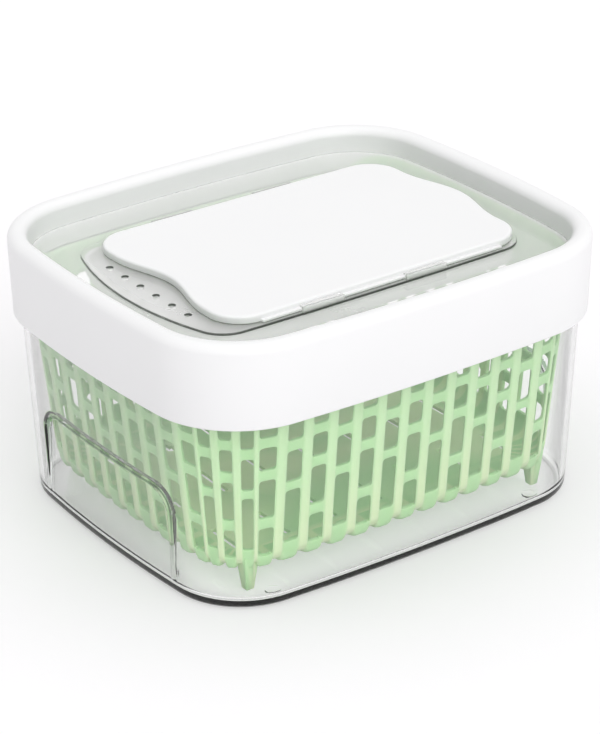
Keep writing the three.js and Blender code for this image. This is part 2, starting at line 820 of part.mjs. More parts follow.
const keeper = new THREE.Group();
keeper.add(piece('tub', buildTub(), clearPlastic));
keeper.add(piece('basket', buildBasket(), greenPlastic));
keeper.add(piece('lid_frame', buildLidFrame(), whitePlastic));
keeper.add(piece('lid_window', buildLidWindow(), clearPlastic));
keeper.add(piece('vent_cover', buildVentCover(), whitePlastic));
keeper.add(piece('filter_cage', buildFilterCage(), frostedPlastic));
keeper.add(piece('filter_door', buildFilterDoor(), frostedPlastic));
keeper.add(piece('carbon_sachet', buildCarbonSachet(), pouchFabric));

export default keeper;
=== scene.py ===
"""Produce keeper: a clear tub, a green slotted basket and a white lid with a sliding vent cover.

Metres, +Z up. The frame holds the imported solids, and each piece here stands for one of them.
"""

import math

import bmesh
import bpy
from bpy.props import FloatProperty, FloatVectorProperty, IntProperty, PointerProperty
from mathutils import Matrix, Vector, noise


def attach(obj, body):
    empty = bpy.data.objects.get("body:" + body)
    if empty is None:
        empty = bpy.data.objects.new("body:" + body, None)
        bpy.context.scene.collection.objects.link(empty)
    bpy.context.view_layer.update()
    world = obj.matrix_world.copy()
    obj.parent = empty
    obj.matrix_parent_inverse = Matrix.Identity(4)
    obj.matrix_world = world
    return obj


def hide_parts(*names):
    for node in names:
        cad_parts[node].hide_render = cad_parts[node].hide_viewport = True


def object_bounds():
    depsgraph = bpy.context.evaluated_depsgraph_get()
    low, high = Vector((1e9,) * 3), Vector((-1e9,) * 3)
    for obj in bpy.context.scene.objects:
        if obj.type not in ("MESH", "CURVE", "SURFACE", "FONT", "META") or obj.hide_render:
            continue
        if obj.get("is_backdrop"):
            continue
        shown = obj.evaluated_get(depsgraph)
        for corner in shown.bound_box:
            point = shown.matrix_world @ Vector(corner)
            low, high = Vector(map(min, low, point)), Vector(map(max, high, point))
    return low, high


bl_info = {
    "name": "Produce Keeper",
    "version": (1, 0, 0),
    "blender": (4, 5, 0),
    "location": "View3D > Sidebar > Keeper",
    "description": "Models a produce keeper around its packed solids",
    "category": "Add Mesh",
}

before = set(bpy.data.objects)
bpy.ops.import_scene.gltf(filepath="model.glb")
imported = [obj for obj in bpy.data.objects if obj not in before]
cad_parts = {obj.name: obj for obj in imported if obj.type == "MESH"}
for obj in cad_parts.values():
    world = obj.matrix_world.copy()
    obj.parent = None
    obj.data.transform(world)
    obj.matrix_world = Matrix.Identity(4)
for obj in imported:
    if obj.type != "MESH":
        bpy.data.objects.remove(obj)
CAD_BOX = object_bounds()
MM = 0.001
MERGE = 1e-6

# Materials made so far. The frame brings plain ones named like the slots, so these are kept apart.
MADE = {}


def length(name, description, millimetres):
    """A size that a user may change, in metres."""
    return FloatProperty(
        name=name, description=description, default=millimetres * MM, unit="LENGTH", precision=5)


def colour(name, description, value):
    return FloatVectorProperty(
        name=name, description=description, default=value, size=3, subtype="COLOR", min=0, max=1)


def share(name, description, value, high=1.0):
    return FloatProperty(name=name, description=description, default=value, min=0, max=high)


class KEEPER_PG_outline(bpy.types.PropertyGroup):
    """Widest outline of the keeper, which all walls follow at an inset"""

    length: length("Length", "Length of the lid", 200)
    depth: length("Depth", "Depth of the lid", 169)
    corner: length("Corner radius", "Radius of the corners", 39)
    end_bow: length("End bow", "Radius of the bow of the ends", 590)
    side_bow: length("Side bow", "Radius of the bow of the long sides", 1040)


class KEEPER_PG_lid(bpy.types.PropertyGroup):
    """Lid frame, window and vent cover"""

    top: length("Top", "Height of the crown above the table", 110.9)
    skirt: length("Skirt drop", "Height of the outer skirt", 33.7)
    wall: length("Skirt wall", "Thickness of the outer skirt", 2.2)
    lean: length("Skirt lean", "How far the skirt draws in at its foot", 0.94)
    crown: length("Crown width", "Width of the crown", 8)
    fillet: length("Crown fillet", "Radius of the crown's edges", 3.6)
    roof: length("Crown thickness", "Thickness of the crown", 6.6)
    inner_wall: length("Inner wall", "Thickness of the inner skirt", 1.4)
    inner_drop: length("Inner drop", "Height of the inner skirt", 18.6)
    ledge: length("Ledge", "Width of the ledge that carries the window", 1.5)
    window_drop: length("Window drop", "Depth of the window below the crown", 9.9)
    window: length("Window thickness", "Thickness of the window", 1.6)
    platform_from_end: length("Platform from end", "Gap from the lid's end", 20)
    platform_from_side: length("Platform from side", "Gap from the lid's side", 33.5)
    platform_corner: length("Platform corner", "Radius of the platform's corners", 13)
    platform_end_bow: length("Platform end bow", "Radius of its ends", 130)
    platform_side_bow: length("Platform side bow", "Radius of its sides", 2500)
    platform_rise: length("Platform rise", "Height of the platform", 1)
    rail: length("Rail length", "Length of each rail", 19)
    rail_wall: length("Rail wall", "Thickness of a rail's wall", 1.2)
    rail_lip: length("Rail lip", "How far a rail reaches over the flange", 1.3)
    rail_lip_height: length("Rail lip height", "Thickness of a rail's lip", 0.8)
    vent: length("Vent radius", "Radius of the vent holes", 1.5)
    vent_pitch: length("Vent pitch", "Distance between the vent holes", 10.7)
    vent_from_end: length("Vent from end", "Gap from the platform's end to the vents", 10.4)
    cover_from_vents: length("Cover from vent end", "Gap from the platform's vent end", 14.5)
    cover_from_far: length("Cover from far end", "Gap from the platform's far end", 6.3)
    cover_from_side: length("Cover from side", "Gap from the platform's side", 3)
    cover: length("Cover thickness", "Thickness of the vent cover", 3)
    cover_corner: length("Cover corner", "Radius of the cover's corners", 14)
    cover_edge: length("Cover edge", "Radius of the cover's upper edge", 1)
    cover_wave: length("Cover wave", "Depth of the wave of its ends", 5.6)
    cover_wave_width: length("Cover wave width", "Width of the wave", 60)
    flange: length("Flange", "Width of the flange under the rails", 1.4)
    flange_height: length("Flange height", "Thickness of the flange", 0.9)
    flange_from_end: length("Flange from end", "Gap from the cover's end", 13.6)


class KEEPER_PG_filter(bpy.types.PropertyGroup):
    """Filter cage, its door and the carbon sachet"""

    inset: length("Cage inset", "Gap from the platform's edge", 1.8)
    wall: length("Cage wall", "Thickness of the cage's rim", 1.6)
    height: length("Cage height", "Height of the cage", 6.1)
    plate: length("Cage plate", "Thickness of the cage's plate", 1.5)
    length: length("Box length", "Length of the filter box", 72)
    depth: length("Box depth", "Depth of the filter box", 62)
    box_wall: length("Box wall", "Thickness of the filter box", 1.5)
    box_height: length("Box height", "Height of the filter box", 6.6)
    slot: length("Air slot", "Length of the air slots", 46)
    slot_width: length("Air slot width", "Width of the air slots", 3)
    slot_pitch: length("Air slot pitch", "Distance between the air slots", 8)
    door: length("Door thickness", "Thickness of the door", 1.5)
    hinge: length("Hinge radius", "Radius of the hinge's barrel", 1.7)
    pin: length("Pin radius", "Radius of the hinge pin", 0.9)
    hinge_length: length("Hinge length", "Length of the hinge's barrel", 26)
    lug: length("Lug", "Length of each hinge lug", 3)
    reach: length("Hinge reach", "Gap from the box to the hinge", 2.2)
    pull: length("Pull length", "Length of the pull tab", 5)
    pull_width: length("Pull width", "Width of the pull tab", 18)
    sachet_margin: length("Sachet margin", "Gap round the sachet", 2)
    sachet: length("Sachet thickness", "Thickness of the sachet", 6)
    seam: length("Sachet seam", "Width of the sachet's welded seam", 3)


class KEEPER_PG_tub(bpy.types.PropertyGroup):
    """Clear tub"""

    clearance: length("Clearance", "Gap between tub and skirt", 1)
    wall: length("Wall", "Thickness of the wall", 2)
    floor: length("Floor", "Thickness of the floor", 2)
    lean: length("Lean", "How far the wall draws in below the skirt", 3.55)
    fillet: length("Fillet", "Radius round the base", 3)
    rim: length("Rim edge", "Radius of the rim's edges", 0.7)
    grip_width: length("Grip width", "Width of the grip recess", 86)
    grip_top: length("Grip top", "Height of the grip recess", 41.4)
    grip_corner: length("Grip corner", "Radius of the recess's corners", 9)
    grip_depth: length("Grip depth", "Depth of the recess at its top", 2.4)
    grip_foot: length("Grip foot", "Height where the recess runs out", 4)
    grip_step: length("Grip step", "Width of the step round the recess", 0.9)
    pip: length("Pip radius", "Radius of the marks in the floor", 3)
    pip_height: length("Pip height", "Height of the marks", 0.6)
    pip_from_end: length("Pip from end", "Gap from the wall's foot", 30.5)
    pip_from_side: length("Pip from side", "Gap from the floor's edge", 5.5)


class KEEPER_PG_basket(bpy.types.PropertyGroup):
    """Slotted basket"""

    gap: length("Gap", "Gap between tub and basket", 3.8)
    lean: length("Lean", "How far the wall draws in below the skirt", 6.57)
    wall: length("Wall", "Thickness of the wall", 1.5)
    raise_: length("Raise", "Height of the basket above the tub's floor", 10)
    rib_fillet: length("Rib fillet", "Radius at the foot of the ribs", 7)
    panel_fillet: length("Panel fillet", "Radius at the foot of the panels between ribs", 2)
    flute: length("Flute depth", "How far the panels lie behind the ribs", 0.6)
    flute_width: length("Flute width", "Distance between two ribs at their base", 8)
    below_rim: length("Below rim", "Height of the plain band below the rim", 10)
    run_out: length("Run-out", "Height over which a flute ends", 1)
    slot: length("Slot width", "Width of a slot", 6.4)
    slot_corner: length("Slot corner", "Radius of a slot's corners", 1.2)
    pitch: length("Pitch", "Distance between columns on ends and sides", 10.85)
    corner_pitch: length("Corner pitch", "Distance between columns round a corner", 7.4)
    handle_from_end: length("Handle from end", "Where the rim starts to rise", 30)
    handle_slope: length("Handle slope", "Length of the rise", 14)
    foot_top: length("Foot top", "Width of a foot at its top", 6.6)
    foot_bottom: length("Foot bottom", "Width of a foot at its base", 3.4)
    foot_inset: length("Foot inset", "Gap from the ribs to a foot's middle", 4)
    floor_slot: length("Floor slot", "Width of a slot in the floor", 2.4)
    floor_pitch: length("Floor pitch", "Distance between floor slots", 21.7)
    floor_gap: length("Floor gap", "Gap between the rows of floor slots", 22)
    floor_margin: length("Floor margin", "Gap round the floor slots", 15)
    floor_rows: IntProperty(
        name="Floor rows", description="Rows of slots in the floor", default=3, min=1)


class KEEPER_PG_finish(bpy.types.PropertyGroup):
    """Colours of the plastics, with the painted shade lines of the clear ones and the painted lighter tones of
    the basket's ribs and foot
    """

    white: colour("White", "Lid frame and vent cover", (0.9, 0.9, 0.905))
    green: colour("Green", "Panels of the basket", (0.49, 0.79, 0.41))
    # Painted light: the rib tone is a lighter, lit copy of the panel green
    green_rib_lit: colour("Green rib", "Ribs of the basket", (0.63, 0.88, 0.52))
    # Painted bounce light: the foot tone makes ribs lighter and yellower near the floor
    green_foot_bounce: colour("Green foot", "Ribs near the basket's foot", (0.77, 0.91, 0.57))
    clear: colour("Clear", "Tub", (0.998, 0.998, 0.998))
    # Painted shade: the step line is the dark line that refraction makes in the step round a grip recess
    step: colour("Step line", "Clear plastic in the step round a grip recess", (0.06, 0.14, 0.06))
    # Painted shade: the foot line is the grey line that the refracted table shadow makes along the tub's
    # bottom edge
    foot: colour("Foot line", "Clear plastic in the tub's bottom edge", (0.66, 0.67, 0.66))
    # Painted shade: the edge line is the dark outline that refraction makes round the window's platform
    edge: colour("Edge line", "Clear plastic in the low edges of the window", (0.16, 0.17, 0.16))
    window: colour("Window", "Clear window of the lid", (0.96, 0.96, 0.957))
    frosted: colour("Frosted", "Filter cage and door", (0.9, 0.9, 0.895))
    pouch: colour("Pouch", "Carbon sachet", (0.8, 0.78, 0.74))
    clear_index: FloatProperty(
        name="Index", description="Refractive index of the clear plastic", default=1.5, min=1)


class KEEPER_PG_stage(bpy.types.PropertyGroup):
    """Floor, light and camera"""

    floor: length("Floor", "Radius of the floor", 3000)
    floor_drop: length("Floor drop", "Gap below the tub, so that no two faces share one plane", 0.1)
    floor_colour: colour("Floor colour", "Plain pale floor", (0.8, 0.786, 0.805))
    floor_lift: share("Floor lift", "White that the camera sees on the floor", 0.22, 2)
    floor_under: share("Floor lift under", "The same where clear plastic covers the floor", 0.46, 2)
    fill: share("Fill light", "Strength of the light from all round", 0.62, 5)
    overhead: share("Overhead light", "How much stronger the fill is from above", 0.35, 5)
    key: share("Key light", "Strength of the soft light from the front", 1.1, 10)
    key_spread: FloatProperty(
        name="Key spread", description="Angle across the key light", default=math.radians(50),
        subtype="ANGLE")
    key_way: FloatVectorProperty(
        name="Key direction", description="Where the key light stands", default=(-0.14, -0.845, 0.516),
        size=3, subtype="DIRECTION")
    focal: FloatProperty(
        name="Focal length", description="In pixels of the photograph", default=2777.35)
    distance: length("Camera distance", "Distance from the middle of the keeper", 1088.6)
    aim: length("Aim height", "Height that the camera looks at", 60)
    turn: FloatProperty(
        name="Turn", description="Camera's azimuth", default=math.radians(-35.602), subtype="ANGLE")
    tilt: FloatProperty(
        name="Tilt", description="Camera's elevation", default=math.radians(25.496), subtype="ANGLE")
    roll: FloatProperty(
        name="Roll", description="Camera's roll", default=math.radians(-0.641), subtype="ANGLE")
    frame_height: IntProperty(
        name="Frame height", description="Height of the photograph in pixels", default=734)
    right_of_middle: FloatProperty(
        name="Right of middle", description="Where the aim appears, in pixels", default=0.763)
    above_middle: FloatProperty(
        name="Above middle", description="Where the aim appears, in pixels", default=23.059)


class Outline:
    """Four shallow bows joined by round corners, read by the angle of the outward normal."""

    def __init__(self, length, depth, corner, end_bow, side_bow):
        self.corner_radius, self.end_bow, self.side_bow = corner, end_bow, side_bow
        self.end = Vector((length / 2 - end_bow, 0))
        self.side = Vector((0, depth / 2 - side_bow))
        from_end, from_side = end_bow - corner, side_bow - corner
        to_side = self.side - self.end
        apart = to_side.length
        along = (from_end**2 - from_side**2 + apart**2) / (2 * apart)
        across = math.sqrt(from_end**2 - along**2)
        to_side.normalize()
        self.corner = self.end + to_side * along + Vector((-to_side.y, to_side.x)) * across
        self.end_angle = math.atan2(self.corner.y - self.end.y, self.corner.x - self.end.x)
        self.side_angle = math.atan2(self.corner.y - self.side.y, self.corner.x - self.side.x)

    def point(self, angle, inset):
        across, along = math.cos(angle), math.sin(angle)
        folded = math.atan2(abs(along), abs(across))
        centre, radius = self.corner, self.corner_radius
        if folded < self.end_angle:
            centre, radius = self.end, self.end_bow
        elif folded > self.side_angle:
            centre, radius = self.side, self.side_bow
        x = centre.x + (radius - inset) * math.cos(folded)
        y = centre.y + (radius - inset) * math.sin(folded)
        return math.copysign(x, across), math.copysign(y, along)

    def quarter(self, inset):
        """Lengths of half an end, a corner and half a side at an inset."""
        turn = math.pi / 2 - self.side_angle
        return ((self.end_bow - inset) * self.end_angle,
                (self.corner_radius - inset) * (self.side_angle - self.end_angle),
                (self.side_bow - inset) * turn)

    def angle_at(self, distance, inset):
        """Normal angle at a length round the outline, from the middle of the +X end."""
        end, corner, side = self.quarter(inset)
        quarter = end + corner + side
        turn = math.floor(distance / quarter)
        mirrored = turn % 2 == 1
        rest = distance - turn * quarter
        s = quarter - rest if mirrored else rest
        if s <= end:
            angle = s / (self.end_bow - inset)
        elif s <= end + corner:
            angle = self.end_angle + (s - end) / (self.corner_radius - inset)
        else:
            angle = self.side_angle + (s - end - corner) / (self.side_bow - inset)
        return (turn + 1) * math.pi / 2 - angle if mirrored else turn * math.pi / 2 + angle

    def read(self, place, path):
        """Length from the middle of the nearest end to a place, at an inset, its inset and normal."""
        at = Vector((abs(place.x), abs(place.y)))
        end, corner, _side = self.quarter(path)
        centre, radius, start, first = self.corner, self.corner_radius, end, self.end_angle
        if math.atan2(at.y - self.end.y, at.x - self.end.x) < self.end_angle:
            centre, radius, start, first = self.end, self.end_bow, 0, 0
        elif math.atan2(at.y - self.side.y, at.x - self.side.x) > self.side_angle:
            centre, radius, start, first = self.side, self.side_bow, end + corner, self.side_angle
        away = at - centre
        length = start + (radius - path) * (math.atan2(away.y, away.x) - first)
        normal = Vector((math.copysign(away.x, place.x), math.copysign(away.y, place.y), 0))
        return length, radius - away.length, normal.normalized()


def quarters(quarter):
    """Angles of a whole outline from those of its first quarter, which holds 0 but not 90."""
    half = quarter + [math.pi / 2] + [math.pi - a for a in reversed(quarter[1:])]
    return half + [a + math.pi for a in half]


def even_angles(outline, bows, corners):
    end, side = outline.end_angle, outline.side_angle
    quarter = [end * i / bows for i in range(bows)]
    quarter += [end + (side - end) * i / corners for i in range(corners)]
    quarter += [side + (math.pi / 2 - side) * i / bows for i in range(bows)]
    return quarters(quarter)


def sizes():
    return bpy.context.scene


def keeper_outline():
    s = sizes().keeper_outline
    return Outline(s.length, s.depth, s.corner, s.end_bow, s.side_bow)


def platform_outline():
    o, s = sizes().keeper_outline, sizes().keeper_lid
    return Outline(o.length - 2 * s.platform_from_end, o.depth - 2 * s.platform_from_side,
                   s.platform_corner, s.platform_end_bow, s.platform_side_bow)


def rounded(points, steps=4, closed=False):
    """A profile whose corners are rounded: each of its points is an inset, a height and a radius."""
    count = len(points)
    profile = []
    for i, (x, z, radius) in enumerate(points):
        here = Vector((x, z))
        if radius <= 0 or (not closed and i in (0, count - 1)):
            profile.append((x, z))
            continue
        before = Vector(points[i - 1][:2]) - here
        after = Vector(points[(i + 1) % count][:2]) - here
        half = before.angle(after) / 2
        reach = min(radius / math.tan(half), before.length * 0.49, after.length * 0.49)
        radius = reach * math.tan(half)
        middle = here + (before.normalized() + after.normalized()).normalized() * radius / math.sin(half)
        start = here + before.normalized() * reach - middle
        end = here + after.normalized() * reach - middle
        turn = start.angle(end)
        for step in range(steps + 1):
            t = step / steps
            a, b = math.sin((1 - t) * turn), math.sin(t * turn)
            at = middle + (start * a + end * b) / math.sin(turn)
            profile.append((at.x, at.y))
    return profile


def deselect():
    if bpy.context.mode != "OBJECT":
        bpy.ops.object.mode_set(mode="OBJECT")
    bpy.ops.object.select_all(action="DESELECT")


def edit(piece):
    """Opens a piece alone in edit mode with nothing selected in it."""
    deselect()
    piece.select_set(True)
    bpy.context.view_layer.objects.active = piece
    bpy.ops.object.mode_set(mode="EDIT")
    bpy.ops.mesh.select_all(action="DESELECT")
    return bmesh.from_edit_mesh(piece.data)


def sweep(name, count, rows, place, caps=True, closed=False):
    """Draws a ring, and extrudes it row after row. place(station, row) gives a point's place."""
    deselect()
    bpy.ops.mesh.primitive_circle_add(vertices=count, radius=1)
    piece = bpy.context.object
    piece.name = piece.data.name = name
    bpy.ops.object.mode_set(mode="EDIT")
    mesh = bmesh.from_edit_mesh(piece.data)
    station = mesh.verts.layers.int.new("station")
    level = mesh.verts.layers.int.new("level")
    mesh.verts.ensure_lookup_table()
    for i, vertex in enumerate(mesh.verts):
        vertex[station] = i
    for row in range(rows + 1 if closed else rows):
        if row:
            bpy.ops.mesh.extrude_edges_move()
        mesh = bmesh.from_edit_mesh(piece.data)
        station = mesh.verts.layers.int["station"]
        level = mesh.verts.layers.int["level"]
        for vertex in mesh.verts:
            if vertex.select:
                vertex[level] = row
                vertex.co = place(vertex[station], row % rows)
        bmesh.update_edit_mesh(piece.data)
        if caps and row == 0:
            bpy.ops.mesh.edge_face_add()
    if caps:
        bpy.ops.mesh.edge_face_add()
    bpy.ops.mesh.select_all(action="SELECT")
    if closed:
        bpy.ops.mesh.remove_doubles(threshold=MERGE)
    bpy.ops.mesh.normals_make_consistent(inside=False)
    bpy.ops.mesh.select_all(action="DESELECT")
    return piece


def follow(name, outline, angles, profile, closed=False):
    """A solid whose profile of insets and heights runs round an outline."""
    def place(station, row):
        inset, height = profile[row]
        x, y = outline.point(angles[station], inset)
        return x, y, height

    piece = sweep(name, len(angles), len(profile), place, caps=not closed, closed=closed)
    return done(piece)


def done(piece):
    """Closes edit mode, and drops the marks that sweep left on the points."""
    deselect()
    for mark in ("station", "level"):
        if mark in piece.data.attributes:
            piece.data.attributes.remove(piece.data.attributes[mark])
    return piece


def apply(piece, kind, **settings):
    """Adds a modifier to a piece and applies it."""
    deselect()
    piece.select_set(True)
    bpy.context.view_layer.objects.active = piece
    change = piece.modifiers.new(kind.lower(), kind)
    for key, value in settings.items():
        setattr(change, key, value)
    bpy.ops.object.modifier_apply(modifier=change.name)
    return piece


def combine(piece, tool, operation):
    """Joins a tool solid to a piece, or cuts it out of it, and removes the tool."""
    apply(piece, "BOOLEAN", operation=operation, solver="EXACT", object=tool)
    bpy.data.meshes.remove(tool.data)
    return piece


def settle(piece):
    """Puts a piece's turn, size and place into its mesh."""
    deselect()
    piece.select_set(True)
    bpy.context.view_layer.objects.active = piece
    bpy.ops.object.transform_apply(location=True, rotation=True, scale=True)
    return piece


def block(low, high, edge=0.0, segments=2):
    """A box between two corners, with its edges rounded."""
    deselect()
    low, high = Vector(low), Vector(high)
    bpy.ops.mesh.primitive_cube_add(size=1, location=(low + high) / 2, scale=high - low)
    piece = settle(bpy.context.object)
    if edge:
        edit(piece)
        bpy.ops.mesh.select_all(action="SELECT")
        bpy.ops.mesh.bevel(offset=edge, segments=segments, affect="EDGES")
        deselect()
    return piece


def bar(radius, length, place, axis="Z", edge=0.0, sides=24):
    """A round bar, with its two rims rounded."""
    deselect()
    turn = (0, math.pi / 2, 0) if axis == "X" else (0, 0, 0)
    bpy.ops.mesh.primitive_cylinder_add(
        vertices=sides, radius=radius, depth=length, location=place, rotation=turn)
    piece = settle(bpy.context.object)
    if edge:
        mesh = edit(piece)
        for part in mesh.edges:
            part.select_set(any(len(face.verts) > 4 for face in part.link_faces))
        bmesh.update_edit_mesh(piece.data)
        bpy.ops.mesh.bevel(offset=edge, segments=3, affect="EDGES")
        deselect()
    return piece


def row_of(piece, steps):
    """Copies a piece by each of the steps, and joins the copies in one."""
    copies = []
    for step in steps:
        copy = piece.copy()
        copy.data = piece.data.copy()
        copy.data.transform(Matrix.Translation(Vector(step)))
        bpy.context.scene.collection.objects.link(copy)
        copies.append(copy)
    bpy.data.meshes.remove(piece.data)
    deselect()
    for copy in copies:
        copy.select_set(True)
    bpy.context.view_layer.objects.active = copies[0]
    bpy.ops.object.join()
    return copies[0]


def centred(count, pitch):
    return [(i - (count - 1) / 2) * pitch for i in range(count)]


def finish_piece(piece, name, node, body, material, angle=35):
    """Names a piece, smooths its shading, gives it its finish and seats it in the frame."""
    piece.name = piece.data.name = name
    deselect()
    piece.select_set(True)
    bpy.context.view_layer.objects.active = piece
    bpy.ops.object.shade_smooth_by_angle(angle=math.radians(angle))
    piece.data.materials.clear()
    piece.data.materials.append(material)
    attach(piece, body)
    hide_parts(node)
    return piece


class Value:
    """A number in a shader: arithmetic on it adds Math nodes."""

    def __init__(self, finish, socket):
        self.finish, self.socket = finish, socket

    def maths(self, operation, *terms):
        return self.finish.node("ShaderNodeMath", {"operation": operation}, dict(enumerate(terms)))

    def __add__(self, other):
        return self.maths("ADD", self, other)

    def __radd__(self, other):
        return self.maths("ADD", other, self)

    def __sub__(self, other):
        return self.maths("SUBTRACT", self, other)

    def __rsub__(self, other):
        return self.maths("SUBTRACT", other, self)

    def __mul__(self, other):
        return self.maths("MULTIPLY", self, other)

    def __rmul__(self, other):
        return self.maths("MULTIPLY", other, self)

    def __truediv__(self, other):
        return self.maths("DIVIDE", self, other)

    def __pow__(self, other):
        return self.maths("POWER", self, other)

    def at_most(self, other):
        return self.maths("MINIMUM", self, other)

    def at_least(self, other):
        return self.maths("MAXIMUM", self, other)

    def between(self, low, high):
        """0 below the low end, 1 above the high end, and smooth between them."""
        settings = {"interpolation_type": "SMOOTHSTEP"}
        return self.finish.node("ShaderNodeMapRange", settings, {0: self, 1: low, 2: high})


class Finish:
    """A procedural material. Patterns are placed by the object's own metres."""

    def __init__(self, name, tree=None):
        if tree is None:
            self.material = bpy.data.materials.new(name)
            self.material.use_nodes = True
            tree = self.material.node_tree
        self.tree = tree
        self.tree.nodes.clear()
        self.place = self.node("ShaderNodeTexCoord", {}, {}, "Object")

    def node(self, kind, settings, inputs, output=0):
        made = self.tree.nodes.new(kind)
        for key, value in settings.items():
            setattr(made, key, value)
        for key, value in inputs.items():
            if isinstance(value, Value):
                self.tree.links.new(value.socket, made.inputs[key])
            else:
                made.inputs[key].default_value = value
        return Value(self, made.outputs[output]) if made.outputs else made

    def noise(self, scale, detail=2.0, rough=0.5, stretch=None):
        place = self.place
        if stretch:
            place = self.node("ShaderNodeMapping", {}, {"Vector": place, "Scale": stretch})
        return self.node("ShaderNodeTexNoise", {}, {
            "Vector": place, "Scale": scale, "Detail": detail, "Roughness": rough})

    def height(self):
        """Height above the table, in metres."""
        return self.node("ShaderNodeSeparateXYZ", {}, {0: self.place}, 2)

    def along(self, axis):
        return self.node("ShaderNodeSeparateXYZ", {}, {0: self.place}, axis)

    def absolute(self, value):
        return value.maths("ABSOLUTE", value)

    def mix(self, share, first, second):
        first = (*first, 1) if isinstance(first, (tuple, list)) else first
        second = (*second, 1) if isinstance(second, (tuple, list)) else second
        return self.node("ShaderNodeMix", {"data_type": "RGBA"}, {0: share, 6: first, 7: second}, 2)

    def bump(self, height, distance, strength=1.0):
        return self.node("ShaderNodeBump", {}, {
            "Height": height, "Distance": distance, "Strength": strength})

    def plastic(self, inputs):
        return self.node("ShaderNodeBsdfPrincipled", {}, inputs)

    def blend(self, share, first, second):
        return self.node("ShaderNodeMixShader", {}, {0: share, 1: first, 2: second})

    def light_path(self, ray):
        return self.node("ShaderNodeLightPath", {}, {}, ray)

    def seen(self):
        """1 for what the camera sees, straight, mirrored or through clear plastic."""
        direct = self.light_path("Is Camera Ray").at_least(self.light_path("Is Glossy Ray"))
        return direct.at_least(self.light_path("Is Transmission Ray"))

    def band(self, distance, half, soft):
        """1 within half a width of a line, and soft at its edges."""
        return 1 - self.absolute(distance).between(half - soft / 2, half + soft / 2)

    def end(self, shader):
        self.node("ShaderNodeOutputMaterial", {}, {"Surface": shader})
        return self.material


def shade(value, factor):
    """A colour made lighter or darker."""
    return tuple(min(1.0, part * factor) for part in value)


def white_plastic():
    """Satin white moulding: a fine grain, faint flow marks and slightly duller patches."""
    f = Finish("satin_white")
    base = tuple(sizes().keeper_finish.white)
    flow = f.noise(22, 3)
    grain = f.noise(2600, 2)
    rub = f.noise(140, 4, 0.6)
    surface = f.bump(grain * 0.6 + rub * 0.4, 0.00004, 0.35)
    return f.end(f.plastic({
        "Base Color": f.mix(flow, shade(base, 0.985), shade(base, 1.01)),
        "Roughness": 0.3 + rub * 0.12,
        "IOR": 1.49,
        "Normal": surface,
    }))


def green_plastic():
    """Translucent green moulding: ribs painted lighter than the recessed panels, painted bounce light making
    them yellower at their foot, with a fine satin grain.
    """
    f = Finish("translucent_green")
    tones = sizes().keeper_finish
    base = tuple(tones.green)
    rib = f.node("ShaderNodeAttribute", {"attribute_name": "rib"}, {}, "Fac")
    # Painted bounce light: ribs turn lighter and yellower towards the foot, where the floor would light them
    low = 1 - f.height().between(0.012, 0.06)
    cloud = f.noise(45, 3)
    grain = f.noise(2200, 2)
    light = f.mix(low, tuple(tones.green_rib_lit), tuple(tones.green_foot_bounce))
    # Painted light and shade: ribs take a lighter tone than the recessed panels of the same plastic
    body = f.mix(rib, base, light)
    tone = f.mix(cloud * 0.35, body, shade(base, 0.93))
    moulding = f.plastic({
        "Base Color": tone,
        "Roughness": 0.34 + cloud * 0.14,
        "IOR": 1.49,
        "Specular IOR Level": 0.3,
        "Subsurface Weight": 0.5,
        "Subsurface Radius": (1.0, 1.0, 1.0),
        "Subsurface Scale": 0.0015,
        "Normal": f.bump(grain, 0.00005, 0.3),
    })
    return f.end(let_through(f, moulding, base, 0.6))


def grip_shade_line(f):
    """Mask of painted shade on the step round a grip recess, where refraction darkens clear plastic: bold
    above, fading downwards.
    """
    s = sizes().keeper_tub
    end = f.absolute(f.along(0)).between(84 * MM, 86 * MM)
    y = f.absolute(f.along(1)) - (s.grip_width / 2 - s.grip_corner)
    z = f.height() - (s.grip_top - s.grip_corner)
    round_off = (y.at_least(0) ** 2 + z.at_least(0) ** 2) ** 0.5
    outside = round_off + y.at_least(z).at_most(0) - s.grip_corner
    deep = f.height().between(s.grip_foot, s.grip_top)
    return f.band(outside, 0.6 * MM, 0.4 * MM) * end * deep


def platform_shade_line(f):
    """Mask of painted shade on the low side wall of the window's platform, its rails and holes, which
    refraction makes look like thin dark lines.
    """
    top = window_top()
    rise = sizes().keeper_lid.platform_rise
    return f.band(f.height() - (top + rise / 2), rise * 0.42, rise * 0.1)


def let_through(f, shader, tint, much=1.0, thick=None):
    """Lets light from lamps and soft bounces pass through, as thin plastic does, and less if thick."""
    thin = f.node("ShaderNodeBsdfTransparent", {}, {"Color": (*tint, 1)})
    if thick:
        dark = f.node("ShaderNodeBsdfTransparent", {}, {"Color": (*shade(tint, 0.6), 1)})
        thin = f.blend(thick, thin, dark)
    passing = f.light_path("Is Shadow Ray").at_least(f.light_path("Is Diffuse Ray"))
    return f.blend(passing * much, shader, thin)


def clear_plastic(name, tint, rough, clearness, lines):
    """Clear polished moulding with faint scuffs, and painted shade lines where refraction darkens its edges
    and steps.
    """
    f = Finish(name)
    tones = sizes().keeper_finish
    flow = f.noise(28, 2, stretch=(1, 1, 0.5))
    scuff = f.noise(320, 4, 0.65, stretch=(1, 1, 3))
    tone = f.mix(scuff, tint, shade(tint, 0.99))
    # Painted shade: each line darkens the tint towards its colour where its mask is 1
    for mask, line in lines(f):
        tone = f.mix(mask, tone, tuple(line))
    clear = f.plastic({
        "Base Color": tone,
        "Roughness": rough + (scuff - 0.5).at_least(0) * 0.04,
        "IOR": tones.clear_index,
        "Specular IOR Level": 0.25,
        "Transmission Weight": clearness,
        "Normal": f.bump(flow, 0.0006, 0.004),
    })
    return f.end(let_through(f, clear, shade(tint, 0.99), 1.0, foot_mark(f)))


